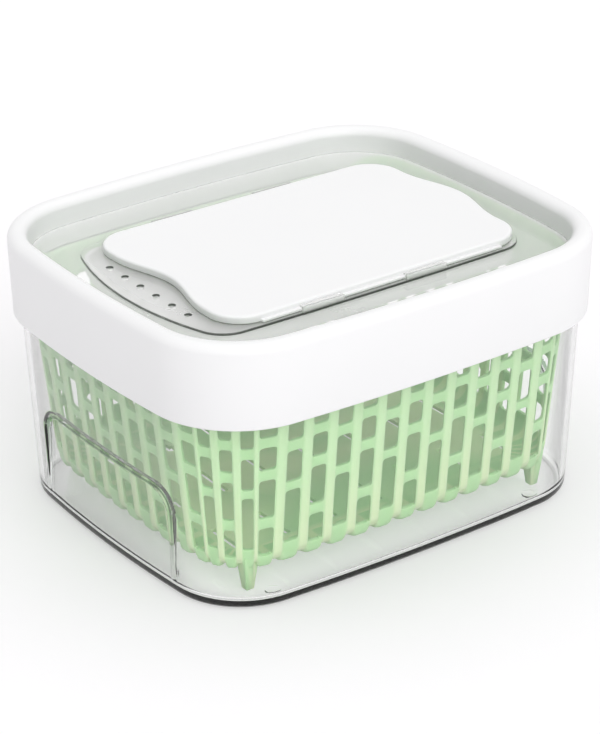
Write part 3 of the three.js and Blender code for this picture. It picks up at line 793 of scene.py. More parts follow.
def slant_shade(f):
    """Painted grey shade on walls seen along their surface, where clear plastic looks grey."""
    slant = f.node("ShaderNodeLayerWeight", {}, {"Blend": 0.5}, "Facing")
    return slant.between(0.27, 0.62) * f.height().between(3 * MM, 8 * MM)


def foot_mark(f):
    """The tub's own mark: 1 on its bottom edge, 0 elsewhere."""
    return f.node("ShaderNodeAttribute", {"attribute_name": "foot"}, {}, "Fac")


# Painted shade on the tub: grey slanted walls, a grey bottom edge and a dark grip step
def tub_shade_lines(f):
    tones = sizes().keeper_finish
    # Painted shade: a grey line along the tub's bottom edge
    bottom_edge_shade = foot_mark(f).between(0.85, 1) * (1 - f.height().between(0.4 * MM, 1.0 * MM))
    return ((slant_shade(f), shade(tones.clear, 0.5)), (bottom_edge_shade, tones.foot),
            (grip_shade_line(f), tones.step))


# Painted shade: thin dark lines on the platform's low walls
def window_shade_lines(f):
    return ((platform_shade_line(f), sizes().keeper_finish.edge),)


def frosted_plastic():
    """Frosted moulding that lets light through: a sandy grain."""
    f = Finish("frosted_white")
    base = tuple(sizes().keeper_finish.frosted)
    cloud = f.noise(60, 3)
    grain = f.noise(1800, 3, 0.6)
    frosted = f.plastic({
        "Base Color": f.mix(cloud, shade(base, 0.96), shade(base, 1.03)),
        "Roughness": 0.48 + grain * 0.12,
        "IOR": 1.49,
        "Transmission Weight": 0.35,
        "Normal": f.bump(grain, 0.00006, 0.5),
    })
    return f.end(let_through(f, frosted, shade(base, 0.8)))


def pouch_fabric():
    """Non-woven pouch: crossing fibres pressed in a fine grid of welded points."""
    f = Finish("welded_pouch")
    base = tuple(sizes().keeper_finish.pouch)
    fibres = f.noise(900, 4, 0.7, (1, 0.2, 1)) * 0.5 + f.noise(900, 4, 0.7, (0.2, 1, 1)) * 0.5
    points = f.node("ShaderNodeTexVoronoi", {"distance": "EUCLIDEAN"}, {
        "Vector": f.place, "Scale": 700.0, "Randomness": 0.15})
    relief = fibres * 0.6 + points * 0.5
    return f.end(f.plastic({
        "Base Color": f.mix(fibres, shade(base, 0.86), shade(base, 1.12)),
        "Roughness": 0.9,
        "Sheen Weight": 0.25,
        "Normal": f.bump(relief, 0.00015, 0.8),
    }))


def make_material(name):
    """Makes a material once, and gives the same one to later pieces."""
    if name in MADE:
        return MADE[name]
    tones = sizes().keeper_finish
    makers = {
        "white_plastic": white_plastic,
        "green_plastic": green_plastic,
        "clear_plastic": lambda: clear_plastic("clear_tub", tuple(tones.clear), 0.0, 1.0, tub_shade_lines),
        "clear_window": lambda: clear_plastic("clear_lid", tuple(tones.window), 0.01, 0.72, window_shade_lines),
        "frosted_plastic": frosted_plastic,
        "pouch_fabric": pouch_fabric,
    }
    MADE[name] = makers[name]()
    return MADE[name]


def skirt_bottom():
    s = sizes().keeper_lid
    return s.top - s.skirt


def window_top():
    s = sizes().keeper_lid
    return s.top - s.window_drop


def window_bottom():
    return window_top() - sizes().keeper_lid.window


def seat():
    return 0.3 * MM


def tub_inset(height):
    """Inset of the tub's outer face at a height."""
    lid, tub = sizes().keeper_lid, sizes().keeper_tub
    top = lid.lean + lid.wall + tub.clearance
    return top + tub.lean * (skirt_bottom() - height) / skirt_bottom()


class KEEPER_OT_tub(bpy.types.Operator):
    """Model the clear tub, with a grip recess in each end and four pips in its floor"""

    bl_idname = "keeper.tub"
    bl_label = "Tub"
    bl_options = {"REGISTER", "UNDO"}

    def stations(self, outline, s):
        """Angles round the wall, closer where the edge of a recess crosses them."""
        inset = tub_inset(s.grip_top)
        end, corner, side = outline.quarter(inset)
        dense_from = s.grip_width / 2 - s.grip_corner - MM
        dense_to = s.grip_width / 2 + 3 * MM
        places = [dense_from * i / 9 for i in range(9)]
        step = 0.5 * MM
        count = int((dense_to - dense_from) / step)
        places += [dense_from + i * step for i in range(count)]
        start = places[-1] + step
        places += [start + (end + corner - start) * i / 20 for i in range(20)]
        places += [end + corner + side * i / 10 for i in range(10)]
        return quarters([outline.angle_at(p, inset) for p in places])

    def recess(self, y, z, s, grow):
        """How far the end wall is pushed in at a place."""
        half, top = s.grip_width / 2 + grow, s.grip_top + grow
        radius = s.grip_corner + grow
        dy, dz = abs(y) - (half - radius), z - (top - radius)
        outside = math.hypot(max(dy, 0), max(dz, 0)) + min(max(dy, dz), 0) - radius
        t = min(1, max(0, 0.5 - outside / s.grip_step))
        depth = s.grip_depth * min(1, max(0, z - s.grip_foot) / (s.grip_top - s.grip_foot))
        return depth * t * t * (3 - 2 * t)

    def execute(self, context):
        s = context.scene.keeper_tub
        lid = context.scene.keeper_lid
        outline = keeper_outline()
        rim = lid.top - lid.roof - seat()
        heights = [4, 6, 9, 12, 15, 18, 21, 24, 27, 30, 32]
        heights += [32.5 + 0.5 * i for i in range(29)]
        heights += [48, 53, 60, 68, 76, 84, 92, 98]
        heights = [h * MM for h in heights]
        wall = s.wall
        rows = [(inset, z, 0) for inset, z in rounded([
            (tub_inset(0) + 12 * MM, 0, 0), (tub_inset(0), 0, s.fillet), (tub_inset(0.01), 0.01, 0),
        ], 6)[:-1]]
        rows += [(tub_inset(z), z, 0) for z in heights]
        rows += [(inset, z, 0) for inset, z in rounded([
            (tub_inset(0.1), 0.1, 0), (tub_inset(rim), rim, s.rim),
            (tub_inset(rim) + wall, rim, s.rim), (tub_inset(0.1) + wall, 0.1, 0)], 4)[1:-1]]
        rows += [(tub_inset(z) + wall, z, wall) for z in reversed(heights) if z > s.floor + s.fillet]
        rows += [(inset, z, 0) for inset, z in rounded([
            (tub_inset(0.02) + wall, 0.02, 0), (tub_inset(s.floor) + wall, s.floor, s.fillet + MM),
            (tub_inset(0) + 16 * MM, s.floor, 0)], 6)[1:]]
        angles = self.stations(outline, s)

        def place(station, row):
            inset, z, grow = rows[row]
            x, y = outline.point(angles[station], inset)
            push = self.recess(y, z, s, grow)
            if push:
                x, y = outline.point(angles[station], inset + push)
            return x, y, z

        piece = done(sweep("tub_shape", len(angles), len(rows), place))
        half_x = context.scene.keeper_outline.length / 2 - tub_inset(0) - s.pip_from_end
        half_y = context.scene.keeper_outline.depth / 2 - tub_inset(0) - s.wall - s.fillet - s.pip_from_side
        high = s.floor + s.pip_height
        pip = bar(s.pip, high - s.floor / 2, (0, 0, (high + s.floor / 2) / 2), edge=0.2 * MM, sides=40)
        pips = row_of(pip, [(x, y, 0) for x in (-half_x, half_x) for y in (-half_y, half_y)])
        combine(piece, pips, "UNION")
        foot = piece.data.attributes.new("foot", "FLOAT", "POINT").data
        for vertex in piece.data.vertices:
            inset = outline.read(vertex.co, tub_inset(0))[1]
            low = vertex.co.z < s.fillet + MM / 2
            foot[vertex.index].value = 1 if low and inset < tub_inset(0) + 2 * s.fillet else 0
        finish_piece(piece, "clear_tub", "tub", "tub", make_material("clear_plastic"), 30)
        return {"FINISHED"}


class KEEPER_OT_basket(bpy.types.Operator):
    """Model the slotted basket: fluted walls, staggered slots, raised handles and four feet"""

    bl_idname = "keeper.basket"
    bl_label = "Basket"
    bl_options = {"REGISTER", "UNDO"}

    # Slots of the two kinds of column, as shares of the height of the flutes
    four_shares = ((0.074, 0.25), (0.309, 0.549), (0.607, 0.75), (0.807, 0.964))
    three_shares = ((0.123, 0.449), (0.497, 0.691), (0.75, 0.921))

    def set_sizes(self, context):
        self.s = context.scene.keeper_basket
        self.tub = context.scene.keeper_tub
        self.lid = context.scene.keeper_lid
        s = self.s
        self.outline = keeper_outline()
        self.bottom = self.tub.floor + s.raise_
        self.top_inset = self.lid.lean + self.lid.wall + self.tub.clearance + self.tub.wall + s.gap
        self.rim = self.lid.top - self.lid.inner_drop - seat()
        self.flute_top = self.rim - s.below_rim
        self.handle_top = window_bottom() - seat()
        self.path = self.inset((self.bottom + skirt_bottom()) / 2)

    def inset(self, height):
        down = max(0, (skirt_bottom() - height) / (skirt_bottom() - self.bottom))
        return self.top_inset + self.s.lean * down

    def foot(self, height, radius):
        """How far a round foot draws in at a height."""
        left = max(0, radius - (height - self.bottom))
        return radius - math.sqrt(radius**2 - left**2)

    def flute(self, height):
        s = self.s
        return s.flute * max(0, min(1, (self.flute_top - height) / s.run_out))

    def skin(self, height, fluted):
        """Inset of the wall's outer face, while the wall is even."""
        s = self.s
        up = min(1, (height - self.bottom) / s.rib_fillet)
        return self.inset(height) + self.foot(height, s.rib_fillet) + fluted * self.flute(height) * up

    def tongue(self, height, fluted):
        """Inset of the outer face where the panels stand out at their foot as tongues."""
        s = self.s
        rib = self.foot(height, s.rib_fillet)
        panel = self.flute(height) + self.foot(height, s.panel_fillet)
        return self.inset(height) + rib + fluted * (panel - rib)

    def columns(self):
        """Places round the outline and pitches of the columns of slots."""
        s = self.s
        end, corner, side = self.outline.quarter(self.path)
        quarter = end + corner + side
        ends = round(end / s.pitch + 0.5)
        sides = round(side / s.pitch)
        corner_from = (ends - 0.5) * s.pitch
        corner_to = quarter - sides * s.pitch
        gaps = max(1, round((corner_to - corner_from) / s.corner_pitch))
        step = (corner_to - corner_from) / gaps
        row = [((i + 0.5) * s.pitch, s.pitch) for i in range(ends)]
        row += [(corner_from + i * step, step) for i in range(1, gaps)]
        row += [(corner_to + i * s.pitch, s.pitch) for i in range(sides)]
        half = row + [(quarter, s.pitch)] + [(2 * quarter - p, w) for p, w in reversed(row)]
        self.quarter_columns = len(row) + 1
        self.foot_place = corner_to - step
        return half + [(p + 2 * quarter, w) for p, w in half]

    def slot_heights(self, column):
        shares = self.three_shares if column % 2 == 0 else self.four_shares
        tall = self.flute_top - self.bottom
        return [(self.bottom + low * tall, self.bottom + high * tall) for low, high in shares]

    def stations(self):
        """Points across each column: the rib's edges, the flank, and the slot with its corners."""
        s = self.s
        wide, half = s.flute_width / 2, s.slot / 2
        across = (
            (-wide, 0), (-(wide + half) / 2, 0.4), (-half, 0.75), (s.slot_corner - half, 1),
            (half - s.slot_corner, 1), (half, 0.75), ((wide + half) / 2, 0.4), (wide, 0))
        found = []
        for column, (place, pitch) in enumerate(self.columns()):
            for order, (step, fluted) in enumerate(across):
                at = place + step * pitch / s.pitch
                found.append((self.outline.angle_at(at, self.path), fluted, column, order))
        return found

    def fluted_at(self, length):
        """0 on a rib and 1 on a panel, for a length round the wall."""
        s = self.s
        near, pitch = min(self.columns_kept[:self.quarter_columns], key=lambda c: abs(c[0] - length))
        off = abs(length - near) * s.pitch / pitch
        wide, half = s.flute_width / 2, s.slot / 2
        steps = ((wide, 0), ((wide + half) / 2, 0.4), (half, 0.75), (half - s.slot_corner, 1), (-1, 1))
        for (far, low), (close, high) in zip(steps, steps[1:]):
            if close <= off <= far:
                return low + (high - low) * (far - off) / (far - close)
        return 0

    def levels(self):
        """Heights of the rows from the foot to the plain band."""
        s = self.s
        steps = 8
        turns = [math.pi / 2 * i / steps for i in range(steps + 1)]
        found = {self.bottom + s.rib_fillet * (1 - math.cos(turn)) for turn in turns}
        for column in (0, 1):
            for low, high in self.slot_heights(column):
                found.update((low, low + s.slot_corner, high - s.slot_corner, high))
        found.add(skirt_bottom())
        found.add(self.flute_top - s.run_out)
        found.add(self.flute_top)
        kept = []
        for height in sorted(found):
            if not kept or height - kept[-1] > 10 * MERGE:
                kept.append(height)
        return kept

    def rise(self, x):
        """How far the rim rises towards the handles."""
        shoulder = bpy.context.scene.keeper_outline.length / 2 - self.s.handle_from_end
        t = min(1, max(0, (abs(x) - shoulder) / self.s.handle_slope))
        return (self.handle_top - self.rim) * t * t * (3 - 2 * t)

    def open_slots(self, piece, stations, rows):
        """Takes the faces out of the slots, and rounds the corners that are left."""
        s = self.s
        mesh = edit(piece)
        station = mesh.verts.layers.int["station"]
        level = mesh.verts.layers.int["level"]
        heights = {}
        for column in range(max(st[2] for st in stations) + 1):
            heights[column] = self.slot_heights(column)
        count = len(stations)
        for face in mesh.faces:
            orders = {stations[v[station]][3] for v in face.verts}
            numbers = {stations[v[station]][2] for v in face.verts}
            if len(face.verts) != 4 or len(numbers) != 1 or not orders <= {2, 3, 4, 5}:
                continue
            zs = [rows[v[level]][1] for v in face.verts]
            low, high = min(zs), max(zs)
            for bottom, top in heights[numbers.pop()]:
                if low < bottom - MERGE or high > top + MERGE:
                    continue
                edge_column = orders != {3, 4}
                edge_row = low < bottom + MERGE or high > top - MERGE
                if not (edge_column and edge_row):
                    face.select_set(True)
                else:
                    for v in face.verts:
                        inner = stations[v[station]][3] in (3, 4)
                        z = rows[v[level]][1]
                        if inner and abs(z - bottom - s.slot_corner) < MERGE:
                            self.pull(v, stations[v[station]], z, bottom)
                        elif inner and abs(top - s.slot_corner - z) < MERGE:
                            self.pull(v, stations[v[station]], z, top)
        bmesh.update_edit_mesh(piece.data)
        bpy.ops.mesh.delete(type="FACE")

    def pull(self, vertex, mark, height, towards):
        """Moves a point of a slot's corner onto the corner's arc."""
        s = self.s
        cut = 1 - math.sqrt(0.5)
        side = -1 if mark[3] == 3 else 1
        place, pitch = self.columns_kept[mark[2]]
        across = side * (s.slot / 2 - s.slot_corner * cut) * pitch / s.pitch
        z = towards + (s.slot_corner * cut if towards < height else -s.slot_corner * cut)
        angle = self.outline.angle_at(place + across, self.path)
        x, y = self.outline.point(angle, self.skin(z, 0.85))
        vertex.co = (x, y, z)

    def swell(self, vertex):
        """Brings a point of the outer face at the foot of a panel out to the panel's tongue."""
        z = vertex.co.z
        if z > self.bottom + self.s.rib_fillet:
            return
        length, inset, normal = self.outline.read(vertex.co, self.path)
        fluted = self.fluted_at(length)
        if fluted and abs(inset - self.skin(z, fluted)) < 0.5 * MM:
            vertex.co += normal * (self.skin(z, fluted) - self.tongue(z, fluted))

    def floor_slots(self, context):
        s = self.s
        o = context.scene.keeper_outline
        edge = self.inset(self.bottom) + s.flute + s.wall + s.floor_margin
        half_x, half_y = o.length / 2 - edge, o.depth / 2 - edge
        rows = s.floor_rows
        long = (2 * half_y - (rows - 1) * s.floor_gap) / rows
        each_way = int(half_x / s.floor_pitch)
        slot = block((-s.floor_slot / 2, -long / 2, self.bottom - 3 * MM),
                     (s.floor_slot / 2, long / 2, self.bottom + 4 * MM))
        mesh = edit(slot)
        for part in mesh.edges:
            a, b = (v.co for v in part.verts)
            part.select_set(abs(a.z - b.z) > MM)
        bmesh.update_edit_mesh(slot.data)
        bpy.ops.mesh.bevel(offset=s.floor_slot * 0.45, segments=4, affect="EDGES")
        deselect()
        places = [(x * s.floor_pitch, y, 0) for x in range(-each_way, each_way + 1)
                  for y in centred(rows, long + s.floor_gap)]
        return row_of(slot, places)

    def feet(self):
        s = self.s
        low, high = self.tub.floor + seat(), self.bottom + 5 * MM
        angle = self.outline.angle_at(self.foot_place, self.path)
        x, y = self.outline.point(angle, self.inset(self.bottom) + s.foot_inset)
        deselect()
        bpy.ops.mesh.primitive_cone_add(
            vertices=4, radius1=s.foot_bottom * math.sqrt(0.5), radius2=s.foot_top * math.sqrt(0.5),
            depth=high - low, location=(0, 0, (low + high) / 2), rotation=(0, 0, math.pi / 4))
        foot = settle(bpy.context.object)
        mesh = edit(foot)
        for part in mesh.edges:
            part.select_set(True)
        bmesh.update_edit_mesh(foot.data)
        bpy.ops.mesh.bevel(offset=0.35 * MM, segments=2, affect="EDGES")
        deselect()
        return row_of(foot, [(a, b, 0) for a in (-x, x) for b in (-y, y)])

    def execute(self, context):
        self.set_sizes(context)
        s = self.s
        self.columns_kept = self.columns()
        stations = self.stations()
        rows = [(self.inset(self.bottom) + s.rib_fillet + 6 * MM, self.bottom, 0)]
        rows += [(None, z, 0) for z in self.levels()]
        rows += [(None, self.rim - 6 * MM, 0), (None, self.rim - 2 * MM, 0.5), (None, self.rim, 1)]

        def place(station, row):
            angle, fluted, _column, _order = stations[station]
            inset, z, lift = rows[row]
            x, y = self.outline.point(angle, inset or self.skin(z, fluted))
            return x, y, z + lift * self.rise(x)

        piece = sweep("basket_shape", len(stations), len(rows), place, caps=False)
        self.open_slots(piece, stations, rows)
        mesh = edit(piece)
        for part in mesh.edges:
            flat = all(abs(v.co.z - self.bottom) < MERGE for v in part.verts)
            part.select_set(part.is_boundary and flat)
        bmesh.update_edit_mesh(piece.data)
        bpy.ops.mesh.edge_face_add()
        bpy.ops.mesh.select_all(action="SELECT")
        bpy.ops.mesh.normals_make_consistent(inside=False)
        deselect()
        apply(piece, "SOLIDIFY", thickness=s.wall, offset=-1, use_even_offset=True)
        apply(piece, "BEVEL", width=0.3 * MM, segments=2, limit_method="ANGLE",
              angle_limit=math.radians(38), use_clamp_overlap=True)
        done(piece)
        for vertex in piece.data.vertices:
            self.swell(vertex)
        combine(piece, self.feet(), "UNION")
        combine(piece, self.floor_slots(context), "DIFFERENCE")
        # Marks the ribs, which the green finish paints lighter than the panels
        ribs = piece.data.attributes.new("rib", "FLOAT", "POINT").data
        for vertex in piece.data.vertices:
            length = self.outline.read(vertex.co, self.path)[0]
            ribs[vertex.index].value = 1 - self.fluted_at(length)
        finish_piece(piece, "slotted_basket", "basket", "basket",
                     make_material("green_plastic"), 40)
        return {"FINISHED"}


class KEEPER_OT_lid_frame(bpy.types.Operator):
    """Model the white lid frame: skirt, rounded crown, inner skirt and window ledge"""

    bl_idname = "keeper.lid_frame"
    bl_label = "Lid frame"
    bl_options = {"REGISTER", "UNDO"}

    def execute(self, context):
        s = context.scene.keeper_lid
        foot = skirt_bottom()
        roof = s.top - s.roof
        inner_foot = s.top - s.inner_drop
        ledge = window_bottom() - seat()
        edge = 0.35 * MM
        corners = [
            (s.lean + s.wall, foot, edge), (s.wall, roof, edge), (s.crown - s.inner_wall, roof, edge),
            (s.crown - s.inner_wall, inner_foot, edge), (s.crown + s.ledge, inner_foot, edge),
            (s.crown + s.ledge, ledge, edge), (s.crown, ledge, edge / 2),
            (s.crown, s.top, s.fillet), (0, s.top, s.fillet), (s.lean, foot, 2 * edge),
        ]
        profile = []
        for index, corner in enumerate(corners):
            near = [corners[index - 1], corner, corners[(index + 1) % len(corners)]]
            steps = 10 if corner[2] == s.fillet else 3
            profile += rounded(near, steps)[1:-1]
        outline = keeper_outline()
        piece = follow("lid_frame_shape", outline, even_angles(outline, 8, 18), profile, closed=True)
        finish_piece(piece, "white_lid_frame", "lid_frame", "lid",
                     make_material("white_plastic"), 30)
        return {"FINISHED"}


def vent_holes(z_low, z_high, radius):
    """The row of vent holes, as one cutter."""
    o, s = sizes().keeper_outline, sizes().keeper_lid
    x = -(o.length / 2 - s.platform_from_end - s.vent_from_end)
    hole = bar(radius, z_high - z_low, (x, 0, (z_low + z_high) / 2))
    return row_of(hole, [(0, y, 0) for y in centred(6, s.vent_pitch)])


def cover_sizes():
    """Left end, right end, half depth and underside of the vent cover."""
    o, s = sizes().keeper_outline, sizes().keeper_lid
    half = o.length / 2 - s.platform_from_end
    half_y = o.depth / 2 - s.platform_from_side - s.cover_from_side
    under = window_top() + s.platform_rise + seat()
    return half - s.cover_from_vents, half - s.cover_from_far, half_y, under


class KEEPER_OT_lid_window(bpy.types.Operator):
    """Model the clear window, with its platform, the rails and the vent holes"""

    bl_idname = "keeper.lid_window"
    bl_label = "Lid window"
    bl_options = {"REGISTER", "UNDO"}

    def execute(self, context):
        s = context.scene.keeper_lid
        o = context.scene.keeper_outline
        low, high = window_bottom(), window_top()
        edge = s.crown + seat()
        outline, platform = keeper_outline(), platform_outline()
        piece = follow("window_shape", outline, even_angles(outline, 8, 18), rounded([
            (edge + 4 * MM, low, 0), (edge, low, 0.3 * MM), (edge, high, 0.3 * MM),
            (edge + 4 * MM, high, 0)], 3))
        top = high + s.platform_rise
        raised = follow("platform_shape", platform, even_angles(platform, 8, 10), rounded([
            (4 * MM, (low + high) / 2, 0), (0, (low + high) / 2, 0), (0.1 * MM, top, 0.45 * MM),
            (5 * MM, top, 0)], 4))
        combine(piece, raised, "UNION")
        left, right, half_y, under = cover_sizes()
        rail_in = half_y + s.flange + seat()
        lip_low = under + s.flange_height + seat()
        lip_high = lip_low + s.rail_lip_height
        platform_length = o.length - 2 * s.platform_from_end
        for share_along in (-0.16, 0.14):
            x = share_along * platform_length
            for side in (-1, 1):
                ys = sorted((side * rail_in, side * (rail_in + s.rail_wall)))
                wall = block((x - s.rail / 2, ys[0], (low + high) / 2),
                             (x + s.rail / 2, ys[1], lip_high), 0.2 * MM)
                combine(piece, wall, "UNION")
                ys = sorted((side * (rail_in - s.rail_lip), side * (rail_in + s.rail_wall / 2)))
                lip = block((x - s.rail / 2 + 0.05 * MM, ys[0], lip_low),
                            (x + s.rail / 2 - 0.05 * MM, ys[1], lip_high - 0.05 * MM), 0.2 * MM)
                combine(piece, lip, "UNION")
        combine(piece, vent_holes(low - MM, top + MM, s.vent), "DIFFERENCE")
        finish_piece(piece, "clear_lid_window", "lid_window", "lid",
                     make_material("clear_window"), 30)
        return {"FINISHED"}


class KEEPER_OT_vent_cover(bpy.types.Operator):
    """Model the white vent cover, with a wave at each end and a flange along each side"""

    bl_idname = "keeper.vent_cover"
    bl_label = "Vent cover"
    bl_options = {"REGISTER", "UNDO"}

    def outline(self, s, inset, sharp=False):
        """Points round the cover at an inset."""
        left, right, half, _under = cover_sizes()
        half -= inset
        radius = s.cover_corner - inset
        straight = half - radius
        reach = s.cover_wave_width / 2
        points = []

        def wave(y):
            swell = math.cos(math.pi * y / s.cover_wave_width) ** 2
            return s.cover_wave * swell if abs(y) < reach else 0

        def corner(x, y, start):
            for i in range(13):
                a = start + math.pi / 2 * i / 12
                points.append((x + radius * math.cos(a), y + radius * math.sin(a)))

        steps = 40
        corner(right - inset - radius, -straight, -math.pi / 2)
        for i in range(1, steps):
            y = straight * (2 * i / steps - 1)
            points.append((right - inset + wave(y), y))
        corner(right - inset - radius, straight, 0)
        corner(inset - left + radius, straight, math.pi / 2)
        for i in range(1, steps):
            y = straight * (1 - 2 * i / steps)
            points.append((inset - left + wave(y), y))
        corner(inset - left + radius, -straight, math.pi)
        return points

    def execute(self, context):
        s = context.scene.keeper_lid
        left, right, half, under = cover_sizes()
        top = under + s.cover
        profile = rounded([
            (2 * MM, under, 0), (0, under, 0.25 * MM), (0, top, s.cover_edge), (2.2 * MM, top, 0)], 5)
        rings = [(self.outline(s, inset), z) for inset, z in profile]

        def place(station, row):
            points, z = rings[row]
            return (*points[station], z)

        piece = done(sweep("cover_shape", len(rings[0][0]), len(rings), place))
        reach = half + s.flange
        flange = block((s.flange_from_end - left, -reach, under),
                       (right - s.flange_from_end, reach, under + s.flange_height), 0.2 * MM)
        combine(piece, flange, "UNION")
        finish_piece(piece, "white_vent_cover", "vent_cover", "vent_cover",
                     make_material("white_plastic"), 30)
        return {"FINISHED"}


def filter_heights():
    """Top and bottom of the cage plate, bottom of the box, and the door's top and bottom."""
    s = sizes().keeper_filter
    cage_top = window_bottom() - seat()
    plate_top = cage_top - s.height + s.plate
    plate_low = plate_top - s.plate
    box_low = plate_low - s.box_height
    door_top = box_low - seat()
    return cage_top, plate_top, plate_low, box_low, door_top, door_top - s.door


def air_slots(low, high):
    s = sizes().keeper_filter
    slot = block((-s.slot / 2, -s.slot_width / 2, low), (s.slot / 2, s.slot_width / 2, high))
    mesh = edit(slot)
    for part in mesh.edges:
        a, b = (v.co for v in part.verts)
        part.select_set(abs(a.z - b.z) > MM / 2)
    bmesh.update_edit_mesh(slot.data)
    bpy.ops.mesh.bevel(offset=s.slot_width * 0.45, segments=4, affect="EDGES")
    deselect()
    return row_of(slot, [(0, y, 0) for y in centred(6, s.slot_pitch)])


def hinge_place():
    s = sizes().keeper_filter
    return s.depth / 2 + s.reach, filter_heights()[5] + s.hinge


class KEEPER_OT_filter_cage(bpy.types.Operator):
    """Model the frosted cage under the window, with its filter box and hinge lugs"""

    bl_idname = "keeper.filter_cage"
    bl_label = "Filter cage"
    bl_options = {"REGISTER", "UNDO"}

    def execute(self, context):
        s = context.scene.keeper_filter
        cage_top, plate_top, plate_low, box_low, _door_top, _door_low = filter_heights()
        platform = platform_outline()
        edge = 0.3 * MM
        piece = follow("cage_shape", platform, even_angles(platform, 8, 10), rounded([
            (s.inset + 3 * MM, plate_low, 0), (s.inset, plate_low, 3 * edge), (s.inset, cage_top, edge),
            (s.inset + s.wall, cage_top, edge), (s.inset + s.wall, plate_top, edge),
            (s.inset + s.wall + 3 * MM, plate_top, 0)], 3))
        half_x, half_y = s.length / 2, s.depth / 2
        box = block((-half_x, -half_y, box_low), (half_x, half_y, plate_low + MM / 2), edge)
        combine(piece, box, "UNION")
        hinge_y, hinge_z = hinge_place()
        for side in (-1, 1):
            xs = sorted((side * (s.hinge_length / 2 + seat()), side * (s.hinge_length / 2 + seat() + s.lug)))
            arm = block((xs[0], half_y - s.box_wall / 2, hinge_z),
                        (xs[1], hinge_y + s.hinge - 0.1 * MM, plate_low + MM / 2), 0.15 * MM)
            combine(piece, arm, "UNION")
            eye = bar(s.hinge, s.lug - 0.05 * MM, ((xs[0] + xs[1]) / 2, hinge_y, hinge_z), "X", 0.15 * MM)
            combine(piece, eye, "UNION")
        room = block((s.box_wall - half_x, s.box_wall - half_y, box_low - MM),
                     (half_x - s.box_wall, half_y - s.box_wall, plate_low))
        combine(piece, room, "DIFFERENCE")
        combine(piece, air_slots(plate_low - MM, plate_top + MM), "DIFFERENCE")
        combine(piece, vent_holes(plate_low - MM, plate_top + MM, context.scene.keeper_lid.vent), "DIFFERENCE")
        pin = bar(s.pin + seat(), s.hinge_length + 4 * s.lug, (0, hinge_y, hinge_z), "X")
        combine(piece, pin, "DIFFERENCE")
        finish_piece(piece, "frosted_filter_cage", "filter_cage", "lid",
                     make_material("frosted_plastic"), 30)
        return {"FINISHED"}


class KEEPER_OT_filter_door(bpy.types.Operator):
    """Model the hinged grille that holds the sachet in its box"""

    bl_idname = "keeper.filter_door"
    bl_label = "Filter door"
    bl_options = {"REGISTER", "UNDO"}

    def execute(self, context):
        s = context.scene.keeper_filter
        _cage_top, _plate_top, _plate_low, _box_low, high, low = filter_heights()
        half_x, half_y = s.length / 2, s.depth / 2
        hinge_y, hinge_z = hinge_place()
        edge = 0.35 * MM
        piece = block((-half_x, -half_y, low), (half_x, half_y, high), edge)
        inner = 0.02 * MM
        pull = block((-s.pull_width / 2, -half_y - s.pull, low + inner),
                     (s.pull_width / 2, s.box_wall - half_y, high - inner), edge)
        combine(piece, pull, "UNION")
        arm = block((inner - s.hinge_length / 2, half_y - s.box_wall, low + inner),
                    (s.hinge_length / 2 - inner, hinge_y, high - inner), 0.1 * MM)
        combine(piece, arm, "UNION")
        barrel = bar(s.hinge, s.hinge_length, (0, hinge_y, hinge_z), "X", 0.15 * MM, 32)
        combine(piece, barrel, "UNION")
        pin = bar(s.pin, s.hinge_length + 2 * s.lug, (0, hinge_y, hinge_z), "X", 0.15 * MM)
        combine(piece, pin, "UNION")
        combine(piece, air_slots(low - MM, high + MM), "DIFFERENCE")
        finish_piece(piece, "frosted_filter_door", "filter_door", "filter_door",
                     make_material("frosted_plastic"), 30)
        return {"FINISHED"}


class KEEPER_OT_carbon_sachet(bpy.types.Operator):
    """Model the carbon sachet: a filled pouch with a welded seam round it"""

    bl_idname = "keeper.carbon_sachet"
    bl_label = "Carbon sachet"
    bl_options = {"REGISTER", "UNDO"}

    def execute(self, context):
        s = context.scene.keeper_filter
        long = s.length - 2 * (s.box_wall + s.sachet_margin)
        deep = s.depth - 2 * (s.box_wall + s.sachet_margin)
        middle = filter_heights()[4] + seat() + s.sachet / 2
        seam = 0.5 * MM
        across, along = 66, 56

        def crown(x, y):
            """Half thickness of the filling at a place, with its puckers and granules."""
            from_edge = min(long / 2 - abs(x), deep / 2 - abs(y))
            inside = min(1, max(0, (from_edge - s.seam) / (9 * MM)))
            swell = math.sqrt(1 - (1 - inside) ** 2)
            pucker = math.sin(x * 900 if deep / 2 - abs(y) < long / 2 - abs(x) else y * 900)
            lumps = noise.noise(Vector((x, y, 0.3)) * 330)
            crease = 0.12 * pucker * (1 - inside) * min(1, from_edge / s.seam)
            return (s.sachet / 2 - seam) * swell * (0.92 + 0.08 * lumps) + seam * crease

        deselect()
        bpy.ops.mesh.primitive_grid_add(x_subdivisions=across, y_subdivisions=along, size=1)
        piece = bpy.context.object
        piece.scale = (long, deep, 1)
        settle(piece)
        edit(piece)
        bpy.ops.mesh.select_all(action="SELECT")
        bpy.ops.mesh.duplicate()
        mesh = bmesh.from_edit_mesh(piece.data)
        for v in mesh.verts:
            way = -1 if v.select else 1
            v.co.z = way * (seam / 2 + crown(v.co.x, v.co.y))
            v.co.z = middle + max(-s.sachet / 2, min(s.sachet / 2, v.co.z))
        for part in mesh.edges:
            part.select_set(part.is_boundary)
        bmesh.update_edit_mesh(piece.data)
        bpy.ops.mesh.bridge_edge_loops()
        bpy.ops.mesh.select_all(action="SELECT")
        bpy.ops.mesh.normals_make_consistent(inside=False)
        done(piece)
        finish_piece(piece, "carbon_pouch", "carbon_sachet", "lid",
                     make_material("pouch_fabric"), 60)
        return {"FINISHED"}


